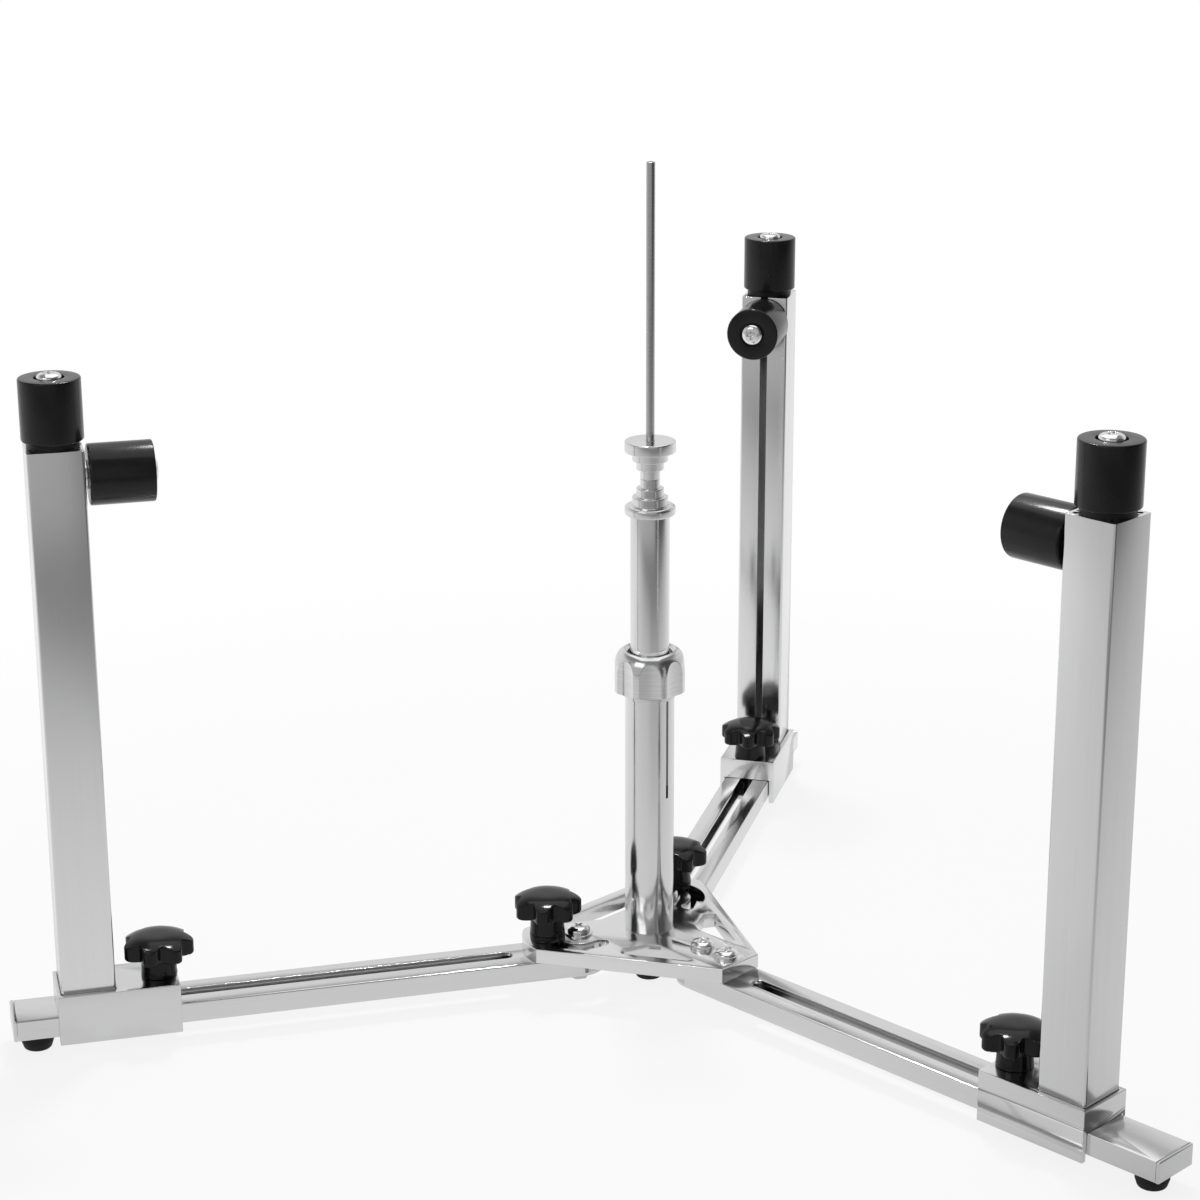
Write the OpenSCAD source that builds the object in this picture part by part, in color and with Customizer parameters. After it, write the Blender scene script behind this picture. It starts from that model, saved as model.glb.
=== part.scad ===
// Folding bench stand for truing a bicycle wheel that lies level on it.
// Millimetres. Z is the post's axis, the bench is z = 0, and the fixed arm runs along +X.
// The back arm stands at +120 degrees and the left arm at -120 degrees. Both fold beside the fixed arm.

/* [Arms] */
// Distance from the post's axis to the outer end of each arm
arm_reach = 367; // [350:1:420]
// Width of each arm
arm_w = 29.5; // [27:0.5:30]
// Height of each arm's bar
arm_h = 12; // [10:0.5:16]
// Wall of the hollow bar
arm_wall = 2; // [1.4:0.1:3]
// Rounding along the bar's long edges
arm_edge_r = 0.8; // [0.4:0.1:1.2]
// Width of the long slot in each bar
slot_w = 8.5; // [8.4:0.1:10]
// Distance from the post's axis to the inner end of the slot
slot_start = 82; // [78:1:90]
// Distance from the post's axis to the outer end of the slot
slot_end = 310.5; // [295:0.5:325]
// Thickness of the end cap's plate
cap_t = 2; // [1.5:0.5:4]
// Depth of the end cap's tongue inside the bar
cap_tongue = 8; // [5:1:12]

/* [Feet] */
// Height of the feet, which is the gap under the arms
foot_h = 11; // [9:0.5:16]
// Radius of the feet
foot_r = 9; // [7:0.5:12]
// Distance from an arm's outer end to its foot's centre
foot_inset = 13.5; // [12:0.5:20]
// Radius of the rounding at the foot's lower edge
foot_round = 3; // [1:0.5:4]

/* [Hub] */
// Thickness of the hub plate
plate_t = 8.7; // [6:0.1:12]
// Distance from the post's axis to the plate's three long sides
plate_flat = 49; // [48:0.5:53]
// Distance from the post's axis to the plate's square end on the fixed arm
plate_end = 72; // [70:0.5:74]
// Radius of the plate's two rounded ends
plate_lobe_r = 32.8; // [31:0.2:34]
// Distance from the post's axis to the arms' pivots
pivot_r = 42.5; // [42:0.5:45]
// Distance from a pivot to its hub knob
knob_arm = 18.6; // [18.6:0.1:20]
// Angle that each folding arm swings through
fold_angle = 120; // [90:5:120]
// Width of the curved slots
arc_slot_w = 8.5; // [8.4:0.1:9.5]
// Distance from an arm's axis to the side of a window
window_side = 15.7; // [15:0.1:17]
// Distance from the post's axis to the inner side of a window
window_in = 26; // [24:0.5:28]
// Distance from the post's axis to the outer side of a window
window_out = 42; // [40:0.5:43]
// Radius of the boss under the plate
boss_r = 11; // [9:0.5:13]

/* [Fasteners] */
// Radius of the hub screws and of the roller bolts
screw_r = 3; // [2.5:0.1:3.5]
// Radius of the hub screws' heads
head_r = 6.75; // [6:0.25:7.5]
// Height of the pan heads
head_h = 4.2; // [3:0.1:5]
// Radius of the light washers under the pivots' heads
washer_r = 8; // [7.5:0.1:8.1]
// Thickness of those washers
washer_t = 1.2; // [0.8:0.1:2]
// Height of the nuts under the arms, washer face included
nut_h = 6; // [5:0.5:8]
// Radius of the centre screw
centre_screw_r = 4; // [3:0.5:5]

/* [Knobs] */
// Outer radius of a knob's head
knob_r = 19.75; // [17:0.25:20]
// Height of a knob's head
knob_head_h = 14; // [10:0.5:18]
// Radius of a knob's neck
knob_neck_r = 10.2; // [8:0.2:10.2]
// Height of a knob's neck
knob_neck_h = 10; // [6:0.5:14]
// Number of lobes on a knob
knob_lobes = 7; // [5:1:9]
// Radius of the knobs' studs
stud_r = 4; // [3:0.5:4]
// Radius of the black foot under a hub knob's neck
knob_washer_r = 10.2; // [8:0.2:10.2]
// Thickness of that foot
knob_washer_t = 3.5; // [2:0.5:5]

/* [Saddles] */
// Width of each saddle
saddle_w = 36.4; // [35.5:0.1:37]
// Length of a saddle from the upright's centre toward the post
saddle_in = 50.2; // [48:0.2:56]
// Length of a saddle from the upright's centre outward
saddle_out = 17.15; // [17:0.05:20]
// Height of the block above the arm
block_h = 13; // [12:0.5:18]
// Depth of the socket that holds the upright
socket_depth = 8; // [5:0.5:9]
// How far the side skirts hang below the arm
skirt_drop = 3.7; // [3.5:0.1:5]
// Distance from the upright's centre to the saddle knob
saddle_knob_x = 40.5; // [39:0.5:44]
// Length of the clamp plate under the arm
clamp_l = 28; // [20:1:34]
// Width of the clamp plate
clamp_w = 22; // [16:1:26]
// Thickness of the clamp plate
clamp_t = 3; // [2:0.2:4]
// Distance from the post's axis to the upright on the fixed arm
right_at = 306; // [180:1:330]
// Distance from the post's axis to the upright on the left arm
left_at = 325; // [190:1:330]
// Distance from the post's axis to the upright on the back arm
back_at = 317; // [190:1:330]

/* [Uprights] */
// Side of the square upright
upright_w = 30; // [28:0.5:30.4]
// Wall of the upright
upright_wall = 2; // [1.6:0.1:3]
// Rounding of the upright's corners
upright_edge_r = 1.5; // [0.5:0.1:2]
// Height of the upright's top above the bench
upright_top = 343; // [250:1:420]
// Width of the slot in the upright's inner face
face_slot_w = 4.6; // [4.4:0.1:6]
// Side of the corner blocks that hold the screw ports
port_block = 5.2; // [4.6:0.1:5.6]
// Radius of the screw ports
port_r = 1.6; // [1.2:0.1:1.8]

/* [Rollers] */
// Radius of the rollers
roller_r = 16.5; // [14:0.5:17]
// Length of a rim roller
rim_roller_l = 33.5; // [25:0.5:45]
// Length of a side roller
side_roller_l = 34.6; // [25:0.2:45]
// Chamfer at the rollers' ends
roller_chamfer = 1.2; // [0.6:0.1:2]
// Radius of the recess round a roller's screw head
recess_r = 8; // [7:0.5:10]
// Radius of the roller bolts' heads
bolt_head_r = 6.75; // [5:0.25:7]
// Radius of the collar under a rim roller
collar_r = 14; // [12:0.5:14.8]
// Thickness of the collar
collar_t = 3.2; // [2:0.2:5]
// Depth of the top plug inside the upright
plug_depth = 9; // [6:1:9]
// Distance from the upright's top down to a side roller's axis
side_drop = 16.7; // [16:0.1:200]
// Thickness of the spacer behind a side roller
spacer_t = 1.8; // [1:0.1:6]
// Radius of that spacer
spacer_r = 8; // [6:0.5:10]

/* [Post] */
// Radius of the lower tube
post_r = 14; // [13.2:0.1:14.4]
// Height of the lower tube above the hub plate
post_h = 160.3; // [140:0.1:200]
// Radius of the upper tube
upper_r = 11; // [9.5:0.1:11.2]
// Wall of the upper tube
upper_wall = 1.5; // [1:0.1:2]
// Length of the upper tube
upper_l = 160; // [150:1:170]
// Distance from the lower tube's top to the lower cone's flange
upper_rise = 89; // [40:1:125]
// Width of the slits at the lower tube's top
slit_w = 1.7; // [1:0.1:2.5]
// Length of the slits
slit_l = 77; // [40:1:90]
// Largest radius of the collet nut
nut_r = 20.8; // [19:0.2:23]
// Height of the collet nut below the lower tube's top
nut_skirt = 18; // [16:0.5:24]
// Number of scallops round the collet nut
nut_scallops = 8; // [6:1:12]
// Depth of the scallops
scallop_depth = 2; // [0.8:0.1:2.4]

/* [Cones and rod] */
// Radius of the cones' large discs
cone_disc_r = 14.25; // [12:0.25:18]
// Radius of the cones' middle steps
cone_mid_r = 10; // [8.5:0.25:11.5]
// Radius of the cones' small steps
cone_tip_r = 7.7; // [6.5:0.1:8.3]
// Radius of the cones' necks
neck_r = 5.5; // [4:0.25:6]
// Thickness of the lower cone's flange
lower_disc_h = 5.5; // [4:0.5:8]
// Thickness of the upper cone's disc
upper_disc_h = 6.3; // [4:0.1:9]
// Height of the middle steps
cone_mid_h = 5.2; // [3:0.2:8]
// Height of the small steps
cone_tip_h = 4.9; // [3:0.1:8]
// Height of each neck
neck_h = 5.2; // [3:0.2:8]
// Radius of the axle rod
rod_r = 2.4; // [2:0.1:2.5]
// Length of the rod above the lower cone's flange
rod_rise = 196.7; // [150:0.1:240]

/* [Fits] */
// Radial gap of turning and sliding round parts
run_gap = 0.05; // [0.02:0.01:0.09]
// Radial gap between the two post tubes
tube_gap = 0.08; // [0.04:0.01:0.1]
// Gap between a saddle and the arm's top and sides
saddle_gap = 0.22; // [0.1:0.01:0.24]
// Gap round the upright in its socket
socket_gap = 0.2; // [0.05:0.05:0.3]
// Gap between rollers and what they turn on
roller_gap = 0.3; // [0.2:0.05:0.6]

/* [Hidden] */
$fn = 72;

// Colours
silver = [0.80, 0.81, 0.82];
satin = [0.70, 0.71, 0.72];
chrome = [0.88, 0.88, 0.90];
steel = [0.60, 0.61, 0.63];
black = [0.05, 0.05, 0.05];
rubber = [0.09, 0.09, 0.09];

// Directions of the arms
right_dir = 0;
back_dir = 120;
left_dir = -120;
fold_dirs = [back_dir, left_dir];

// Heights
arm_z = foot_h;
plate_z = arm_z + arm_h;
plate_top = plate_z + plate_t;
post_top = plate_top + post_h;
flange_z = post_top + upper_rise;
rod_top = flange_z + rod_rise;

// Small values that several pieces share
far = 1000;
eps = 0.05;
hole_r = screw_r + run_gap;
knob_x = pivot_r + knob_arm;
hollow_w = arm_w - 2 * arm_wall;

// Hub plate
window_corner = 3.1;
window_round = 1.2;
short_side = 6.2;
short_slant = 9;
slot_spare = 1;
slot_end_ease = 0.1;

// Arm fittings
bush_r = screw_r + 3;
clamp_nut_w = 15;
fit_gap = 0.1;

// Screws
screw_below = 0.8;
nut_flange_r = 7;
nut_flange_t = 1.2;
nut_hex_r = 5.8;
cross_w = 1.3;
cross_l = 6.4;
cross_depth = 2.2;
dome_steps = 8;

// Centre screw
centre_head_r = centre_screw_r + 2.5;
centre_head_h = 5;
post_plug_h = 12;

// Saddle heights
block_z = plate_z + saddle_gap;
block_top = block_z + block_h;
skirt_z = arm_z - skirt_drop;
skirt_in = arm_w / 2 + saddle_gap;
socket_z = block_top - socket_depth;
clamp_gap = 0.3;
clamp_z = arm_z - clamp_gap - clamp_t;
stud_below = 1.2;
clear_stud_r = stud_r + run_gap;

// Upright
hollow_half = upright_w / 2 - upright_wall;
port_shift = 0.5;
port_at = hollow_half - port_block / 2 + port_shift;
cross_half = hollow_half - port_block;
port_screw_l = 16;
port_head_r = 3.1;
port_head_h = 1.9;

// Rollers
rim_z = upright_top + collar_t + roller_gap;
rim_top = rim_z + rim_roller_l;
head_rise = 2.5;
bolt_head_h = 4.2;
recess_depth = bolt_head_h + roller_gap - head_rise;
side_z = upright_top - side_drop;
side_start = upright_w / 2 + spacer_t + roller_gap;
side_end = side_start + side_roller_l;
slot_screw_gap = 0.2;
slot_screw_r = face_slot_w / 2 - slot_screw_gap;
slot_nut_t = 4;
slot_nut_l = 14;
slot_nut_w = 2 * (cross_half - slot_screw_gap);
plug_gap = 0.1;

// Knob profile
knob_core_r = knob_r * 0.735;
knob_lobe_r = knob_r * 0.263;
under_r = knob_r * 0.64;
shoulder_r = knob_r * 0.89;
stud_root = 6;

// Collet nut
post_bore_r = upper_r + tube_gap;
nut_bore_r = post_r + run_gap;
nut_z = post_top - nut_skirt;
nut_lip_r = post_r + 0.5;
nut_lip_h = 2.6;
nut_chamfer_h = 1.4;
nut_cheek_h = 11.5;
nut_dome_h = 12.5;
nut_dome_steps = 9;
nut_rim_r = upper_r + 3.3;
nut_mouth_r = upper_r + 1.6;
nut_mouth_cut = 1.6;
nut_mouth_h = 6;
nut_seat_gap = 0.6;
scallop_r = 19;

// Cones
spigot_h = 10;
spigot_r = upper_r - upper_wall;
rod_seat = 8;
edge_cut = 0.5;
cone_meet = flange_z + lower_disc_h + cone_mid_h + cone_tip_h + neck_h;
rod_cup_r = 1.3;
rod_cup_d = 1.5;
cone_top = cone_meet + neck_h + cone_tip_h + cone_mid_h + upper_disc_h;
seat_line_z = cone_top + 0.6;
seat_line_w = 0.6;
seat_line_d = 0.2;

// ---------- helpers ----------

// Moves a piece onto an arm, at a distance from the post's axis.
module on_arm(dir, at = 0) rotate([0, 0, dir]) translate([at, 0, 0]) children();

// A box centred on the X axis, from x0 to x1 and from z0 to z1.
module slab(x0, x1, w, z0, z1) translate([x0, -w / 2, z0]) cube([x1 - x0, w, z1 - z0]);

// An upright round bar.
module disc(r, z0, z1) translate([0, 0, z0]) cylinder(r = r, h = z1 - z0);

// A box along Z with four rounded edges.
module rounded_post(w, r, z0, z1) {
  for (turn = [0, 90])
    rotate([0, 0, turn]) slab(-w / 2, w / 2, w - 2 * r, z0, z1);
  for (x = [-1, 1], y = [-1, 1])
    translate([x * (w / 2 - r), y * (w / 2 - r), 0]) disc(r, z0, z1);
}

// A bar along X, from x0 to x1, with four rounded edges.
module rounded_bar(x0, x1, w, z0, z1, r) {
  slab(x0, x1, w - 2 * r, z0, z1);
  slab(x0, x1, w, z0 + r, z1 - r);
  for (y = [-1, 1], z = [z0 + r, z1 - r])
    translate([x0, y * (w / 2 - r), z]) rotate([0, 90, 0]) cylinder(r = r, h = x1 - x0, $fn = 32);
}

// Points of a rounded corner at c, between its neighbours p and q.
function corner(p, c, q, r, n) =
  let (
    u = (p - c) / norm(p - c),
    v = (q - c) / norm(q - c),
    half = acos(u * v) / 2,
    m = c + (u + v) / norm(u + v) * r / sin(half),
    s = c + u * r / tan(half) - m,
    e = c + v * r / tan(half) - m,
    a = atan2(s.y, s.x),
    d = atan2(e.y, e.x) - a,
    t = d > 180 ? d - 360 : d < -180 ? d + 360 : d
  ) [for (i = [0:n]) m + r * [cos(a + t * i / n), sin(a + t * i / n)]];

// A closed outline with all its corners rounded.
function rounded(pts, r, n = 5) =
  let (k = len(pts))
  [for (i = [0:k - 1]) each corner(pts[(i + k - 1) % k], pts[i], pts[(i + 1) % k], r, n)];

// Points of a dome's side, from its rim (r, z) up to its flat top, with rise h.
function dome(r, z, h, top_r) =
  [for (i = [0:dome_steps])
    let (a = 90 * i / dome_steps) [top_r + (r - top_r) * cos(a), z + h * sin(a)]];

// A pan head on z = 0 with a cross recess.
module pan_head(r, h) {
  rim_h = h * 0.35;
  difference() {
    rotate_extrude() polygon(concat([[0, 0], [r, 0]], dome(r, rim_h, h - rim_h, r * 0.35), [[0, h]]));
    for (turn = [0, 90])
      rotate([0, 0, turn + 45]) slab(-cross_l / 2, cross_l / 2, cross_w, h - cross_depth, h + 1);
  }
}

// A pan head screw whose head stands on z = 0 and whose shank hangs to -l.
module pan_screw(r, l, hr, hh) {
  pan_head(hr, hh);
  disc(r, -l, eps);
}

// A stepped turned piece: rings of [radius, height] from z0 up, with a small chamfer on each edge.
module steps(rings, z0, bore) {
  ends = [for (i = 0, z = z0; i < len(rings); z = z + rings[i][1], i = i + 1) z + rings[i][1]];
  difference() {
    for (i = [0:len(rings) - 1]) {
      r = rings[i][0];
      z1 = ends[i];
      zb = z1 - rings[i][1];
      rotate_extrude()
        polygon([
          [0, zb], [r - edge_cut, zb], [r, zb + edge_cut], [r, z1 - edge_cut], [r - edge_cut, z1], [0, z1]
        ]);
    }
    disc(bore, z0 - 1, ends[len(rings) - 1] + 1);
  }
}

// ---------- hub ----------

// A point of the hub's outline, by its distance along and beside a direction.
function beside(dir, along, side) =
  [along * cos(dir) - side * sin(dir), along * sin(dir) + side * cos(dir)];

// The plate before its holes: a triangle, cut square on the fixed arm and round at the folding arms.
module plate_blank() {
  side = (plate_end - plate_flat * cos(60)) / sin(60);
  difference() {
    linear_extrude(plate_t)
      polygon([
        beside(60, plate_flat, -side), 2 * plate_flat * [cos(back_dir), sin(back_dir)],
        2 * plate_flat * [cos(left_dir), sin(left_dir)], beside(-60, plate_flat, side)
      ]);
    for (dir = fold_dirs) on_arm(dir, pivot_r) difference() {
      slab(plate_lobe_r / 2, far, far, -1, plate_t + 1);
      cylinder(r = plate_lobe_r, h = 3 * plate_t, center = true, $fn = 96);
    }
  }
}

// How far a window's side lies beside its middle line, at a distance from the post's axis.
function window_half(along) = along * tan(60) - window_side / cos(60);

// The window between the two folding arms.
module wide_window() {
  turn_at = window_out - window_corner;
  half = window_half(turn_at);
  pts = [
    [window_in, -window_half(window_in)], [turn_at, -half], [window_out, window_corner - half],
    [window_out, half - window_corner], [turn_at, half], [window_in, window_half(window_in)]
  ];
  linear_extrude(far, center = true) polygon(rounded(pts, window_round));
}

// A window beside the fixed arm, cut short by the curved slot. The fixed arm is on its -Y side.
module short_window() {
  turn_at = window_out - window_corner;
  half = window_half(turn_at);
  pts = [
    [window_in, -window_half(window_in)], [turn_at, -half], [window_out, window_corner - half],
    [window_out, short_side], [window_in + short_slant, short_side], [window_in, -short_side]
  ];
  linear_extrude(far, center = true) polygon(rounded(pts, window_round));
}

// The curved slot of a folding arm, from its knob round to the fixed arm's side.
// Its ends are bored a little wider than the slot.
module arc_slot(dir) {
  start = dir > 0 ? dir - fold_angle - slot_spare : dir - slot_spare;
  sweep = fold_angle + 2 * slot_spare;
  translate([pivot_r * cos(dir), pivot_r * sin(dir), -1]) {
    rotate([0, 0, start])
      rotate_extrude(angle = sweep)
        translate([knob_arm - arc_slot_w / 2, 0]) square([arc_slot_w, plate_t + 2]);
    for (a = [start, start + sweep])
      rotate([0, 0, a]) translate([knob_arm, 0, 0])
        cylinder(r = arc_slot_w / 2 + slot_end_ease, h = plate_t + 2);
  }
}

module hub_plate() color(silver) translate([0, 0, plate_z])
  difference() {
    plate_blank();
    for (dir = fold_dirs) {
      arc_slot(dir);
      on_arm(dir, pivot_r) disc(hole_r, -1, plate_t + 1);
    }
    for (x = [pivot_r, knob_x]) translate([x, 0, 0]) disc(hole_r, -1, plate_t + 1);
    disc(centre_screw_r, -1, plate_t + 1);
    rotate([0, 0, 180]) wide_window();
    rotate([0, 0, 60]) short_window();
    mirror([0, 1, 0]) rotate([0, 0, 60]) short_window();
  }

module centre_boss() color(satin) difference() {
  disc(boss_r, arm_z, plate_z);
  disc(centre_head_r + fit_gap, arm_z - 1, arm_z + centre_head_h);
  disc(centre_screw_r, arm_z, plate_z + 1);
}

module centre_screw() color(steel) {
  disc(centre_head_r, arm_z, arm_z + centre_head_h);
  disc(centre_screw_r, arm_z + centre_head_h - eps, plate_top + post_plug_h);
}

// A rubber foot that stands on the bench.
module foot() {
  round_pts = [
    for (i = [0:dome_steps])
      let (a = 90 * i / dome_steps)
      [foot_r - foot_round + foot_round * sin(a), foot_round - foot_round * cos(a)]
  ];
  rotate_extrude() polygon(concat([[0, 0]], round_pts, [[foot_r, foot_h], [0, foot_h]]));
}

module centre_foot() color(rubber) foot();

// A hub screw through the plate and an arm.
module hub_screw(under) {
  bottom = arm_z - nut_h - screw_below;
  translate([0, 0, plate_top + under]) pan_screw(screw_r, plate_top + under - bottom, head_r, head_h);
}

module hub_screws() color(chrome) {
  for (x = [pivot_r, knob_x]) translate([x, 0, 0]) hub_screw(0);
  for (dir = fold_dirs) on_arm(dir, pivot_r) hub_screw(washer_t);
}

module hub_nut() difference() {
  union() {
    disc(nut_flange_r, arm_z - nut_flange_t, arm_z);
    translate([0, 0, arm_z - nut_h]) cylinder(r = nut_hex_r, h = nut_h - nut_flange_t, $fn = 6);
  }
  disc(screw_r, arm_z - nut_h - 1, arm_z + 1);
}

module hub_nuts() color(steel) {
  for (x = [pivot_r, knob_x]) translate([x, 0, 0]) hub_nut();
  for (dir = fold_dirs) on_arm(dir, pivot_r) hub_nut();
}

module pivot_washers() color(chrome)
  for (dir = fold_dirs) on_arm(dir, pivot_r) difference() {
    disc(washer_r, plate_top, plate_top + washer_t);
    disc(screw_r, plate_top - 1, plate_top + washer_t + 1);
  }

// ---------- post ----------

module post_tube() color(satin) difference() {
  disc(post_r, plate_top, post_top);
  disc(post_bore_r, plate_top - 1, post_top + 1);
  slab(-post_r - 1, post_r + 1, slit_w, post_top - slit_l, post_top + 1);
}

module post_plug() color(steel) difference() {
  disc(post_bore_r, plate_top, plate_top + post_plug_h);
  disc(centre_screw_r, plate_top - 1, plate_top + post_plug_h + 1);
}

// The nut's shoulder is a quarter of an ellipse, and its mouth opens out round the upper tube.
module collet_nut() color(silver) difference() {
  cheek_z = nut_z + nut_lip_h + nut_chamfer_h;
  dome_z = cheek_z + nut_cheek_h;
  top = dome_z + nut_dome_h;
  shoulder = [
    for (i = [0:nut_dome_steps])
      [nut_rim_r + (nut_r - nut_rim_r) * cos(90 * i / nut_dome_steps),
        dome_z + nut_dome_h * sin(90 * i / nut_dome_steps)]
  ];
  rotate_extrude()
    polygon(concat([
      [0, nut_z], [nut_lip_r, nut_z], [nut_lip_r, nut_z + nut_lip_h], [nut_r, cheek_z]
    ], shoulder, [[nut_mouth_r, top - nut_mouth_cut], [0, top - nut_mouth_cut]]));
  disc(nut_bore_r, nut_z - 1, post_top + nut_seat_gap);
  disc(post_bore_r, nut_z, top);
  disc(nut_mouth_r, top - nut_mouth_h, top);
  for (i = [0:nut_scallops - 1])
    rotate([0, 0, i * 360 / nut_scallops])
      translate([nut_r + scallop_r - scallop_depth, 0, 0]) disc(scallop_r, nut_z - 1, top);
}

module upper_tube() color(satin) difference() {
  disc(upper_r, flange_z - upper_l, flange_z);
  disc(spigot_r, flange_z - upper_l - 1, flange_z + 1);
}

module lower_cone() color(silver) {
  rings = [
    [cone_disc_r, lower_disc_h], [cone_mid_r, cone_mid_h], [cone_tip_r, cone_tip_h], [neck_r, neck_h]
  ];
  steps(rings, flange_z, rod_r);
  difference() {
    disc(spigot_r, flange_z - spigot_h, flange_z + eps);
    disc(rod_r, flange_z - rod_seat, flange_z + 1);
  }
}

// The turned line just above the upper cone ends the rod's free stretch.
module axle_rod() color(steel) difference() {
  disc(rod_r, flange_z - rod_seat, rod_top);
  disc(rod_cup_r, rod_top - rod_cup_d, rod_top + 1);
  difference() {
    disc(rod_r + 1, seat_line_z, seat_line_z + seat_line_w);
    disc(rod_r - seat_line_d, seat_line_z - 1, seat_line_z + seat_line_w + 1);
  }
}

module upper_cone() color(silver) {
  rings = [
    [neck_r, neck_h], [cone_tip_r, cone_tip_h], [cone_mid_r, cone_mid_h], [cone_disc_r, upper_disc_h]
  ];
  steps(rings, cone_meet, rod_r + run_gap);
}

// ---------- arms, drawn along +X ----------

module arm(folding) difference() {
  union() {
    rounded_bar(pivot_r, arm_reach - cap_t, arm_w, arm_z, plate_z, arm_edge_r);
    translate([pivot_r, 0, 0]) disc(arm_w / 2, arm_z, plate_z);
  }
  slab(pivot_r - arm_w, arm_reach, hollow_w, arm_z + arm_wall, plate_z - arm_wall);
  slab(slot_start + slot_w / 2, slot_end - slot_w / 2, slot_w, arm_z - 1, plate_z + 1);
  for (x = [slot_start + slot_w / 2, slot_end - slot_w / 2])
    translate([x, 0, 0]) disc(slot_w / 2, arm_z - 1, plate_z + 1);
  translate([pivot_r, 0, 0]) disc(hole_r, arm_z - 1, plate_z + 1);
  if (folding) translate([knob_x, 0, 0]) disc(clear_stud_r, plate_z - arm_h / 2, plate_z + 1);
  else translate([knob_x, 0, 0]) disc(hole_r, arm_z - 1, plate_z + 1);
}

module arm_cap() {
  rounded_bar(arm_reach - cap_t, arm_reach, arm_w, arm_z, plate_z, arm_edge_r);
  slab(arm_reach - cap_t - cap_tongue, arm_reach - cap_t + eps, hollow_w - 2 * fit_gap,
    arm_z + arm_wall + fit_gap, plate_z - arm_wall - fit_gap);
}

module arm_foot() translate([arm_reach - foot_inset, 0, 0]) foot();

module arm_bush(x) translate([x, 0, 0]) difference() {
  disc(bush_r, arm_z + arm_wall, plate_z - arm_wall);
  disc(hole_r, arm_z, plate_z);
}

module arm_bushes() for (x = [pivot_r, knob_x]) arm_bush(x);

module arm_fittings() {
  arm_bush(pivot_r);
  difference() {
    slab(knob_x - clamp_nut_w / 2, knob_x + clamp_nut_w / 2, clamp_nut_w,
      arm_z + arm_wall, plate_z - arm_wall);
    translate([knob_x, 0, 0]) disc(clear_stud_r, arm_z, plate_z);
  }
}

// ---------- knobs ----------

// A lobed knob whose neck stands on z = 0, with a stud that hangs to -l.
module knob(l) {
  top = knob_neck_h + knob_head_h;
  disc(knob_neck_r, 0, knob_neck_h + 1);
  intersection() {
    union() {
      disc(knob_core_r, knob_neck_h, top);
      for (i = [0:knob_lobes - 1])
        rotate([0, 0, i * 360 / knob_lobes])
          translate([knob_r - knob_lobe_r, 0, 0]) disc(knob_lobe_r, knob_neck_h, top);
    }
    rotate_extrude()
      polygon(concat(
        [[0, knob_neck_h], [under_r, knob_neck_h], [shoulder_r, knob_neck_h + 2.2],
         [knob_r, knob_neck_h + 4.2]],
        dome(knob_r, knob_neck_h + knob_head_h * 0.6, knob_head_h * 0.4, knob_r * 0.25),
        [[0, top]]
      ));
  }
  disc(stud_r, -l, stud_root);
}

module hub_knob() translate([knob_x, 0, plate_top]) {
  difference() {
    disc(knob_washer_r, 0, knob_washer_t);
    disc(stud_r, -1, knob_washer_t + 1);
  }
  translate([0, 0, knob_washer_t]) knob(knob_washer_t + plate_t + arm_h - arm_wall - fit_gap);
}

// ---------- saddles, drawn along +X with the upright's centre at the origin ----------

module saddle() difference() {
  slab(-saddle_in, saddle_out, saddle_w, skirt_z, block_top);
  slab(-saddle_in - 1, saddle_out + 1, 2 * skirt_in, skirt_z - 1, block_z);
  slab(-upright_w / 2 - socket_gap, upright_w / 2 + socket_gap, upright_w + 2 * socket_gap,
    socket_z, block_top + 1);
  translate([-saddle_knob_x, 0, 0]) disc(clear_stud_r, block_z - 1, block_top + 1);
  for (x = [-1, 1], y = [-1, 1]) translate([x * port_at, y * port_at, block_z]) {
    disc(port_r + fit_gap, -1, block_h);
    rotate_extrude()
      polygon([[0, -1], [port_head_r + fit_gap, -1], [port_head_r + fit_gap, 0.2],
        [port_r + fit_gap, port_head_h], [0, port_head_h]]);
  }
}

module clamp_plate() difference() {
  slab(-saddle_knob_x - clamp_l / 2, -saddle_knob_x + clamp_l / 2, clamp_w, clamp_z, clamp_z + clamp_t);
  translate([-saddle_knob_x, 0, 0]) disc(clear_stud_r, clamp_z - 1, clamp_z + clamp_t + 1);
}

module saddle_knob() translate([-saddle_knob_x, 0, block_top])
  knob(block_top - clamp_z + stud_below);

// The upright's square extrusion, hollow with a port in each corner, slotted on its inner face.
module upright() difference() {
  rounded_post(upright_w, upright_edge_r, socket_z, upright_top);
  for (turn = [0, 90])
    rotate([0, 0, turn])
      slab(-hollow_half, hollow_half, 2 * cross_half, socket_z - 1, upright_top + 1);
  slab(-upright_w / 2 - 1, -hollow_half + 1, face_slot_w, socket_z - 1, upright_top + 1);
  for (x = [-1, 1], y = [-1, 1])
    translate([x * port_at, y * port_at, 0]) disc(port_r, socket_z - 1, upright_top + 1);
}

module upright_screws()
  for (x = [-1, 1], y = [-1, 1]) translate([x * port_at, y * port_at, block_z]) {
    rotate_extrude()
      polygon([[0, 0], [port_head_r, 0], [port_head_r, 0.2], [port_r, port_head_h - 0.1],
        [port_r, port_screw_l], [0, port_screw_l]]);
  }

module top_plug() difference() {
  union() {
    for (turn = [0, 90])
      rotate([0, 0, turn])
        slab(-hollow_half + plug_gap, hollow_half - plug_gap, 2 * (cross_half - plug_gap),
          upright_top - plug_depth, upright_top + eps);
    disc(collar_r, upright_top, upright_top + collar_t);
  }
  disc(screw_r, upright_top - plug_depth - 1, upright_top + collar_t + 1);
}

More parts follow.
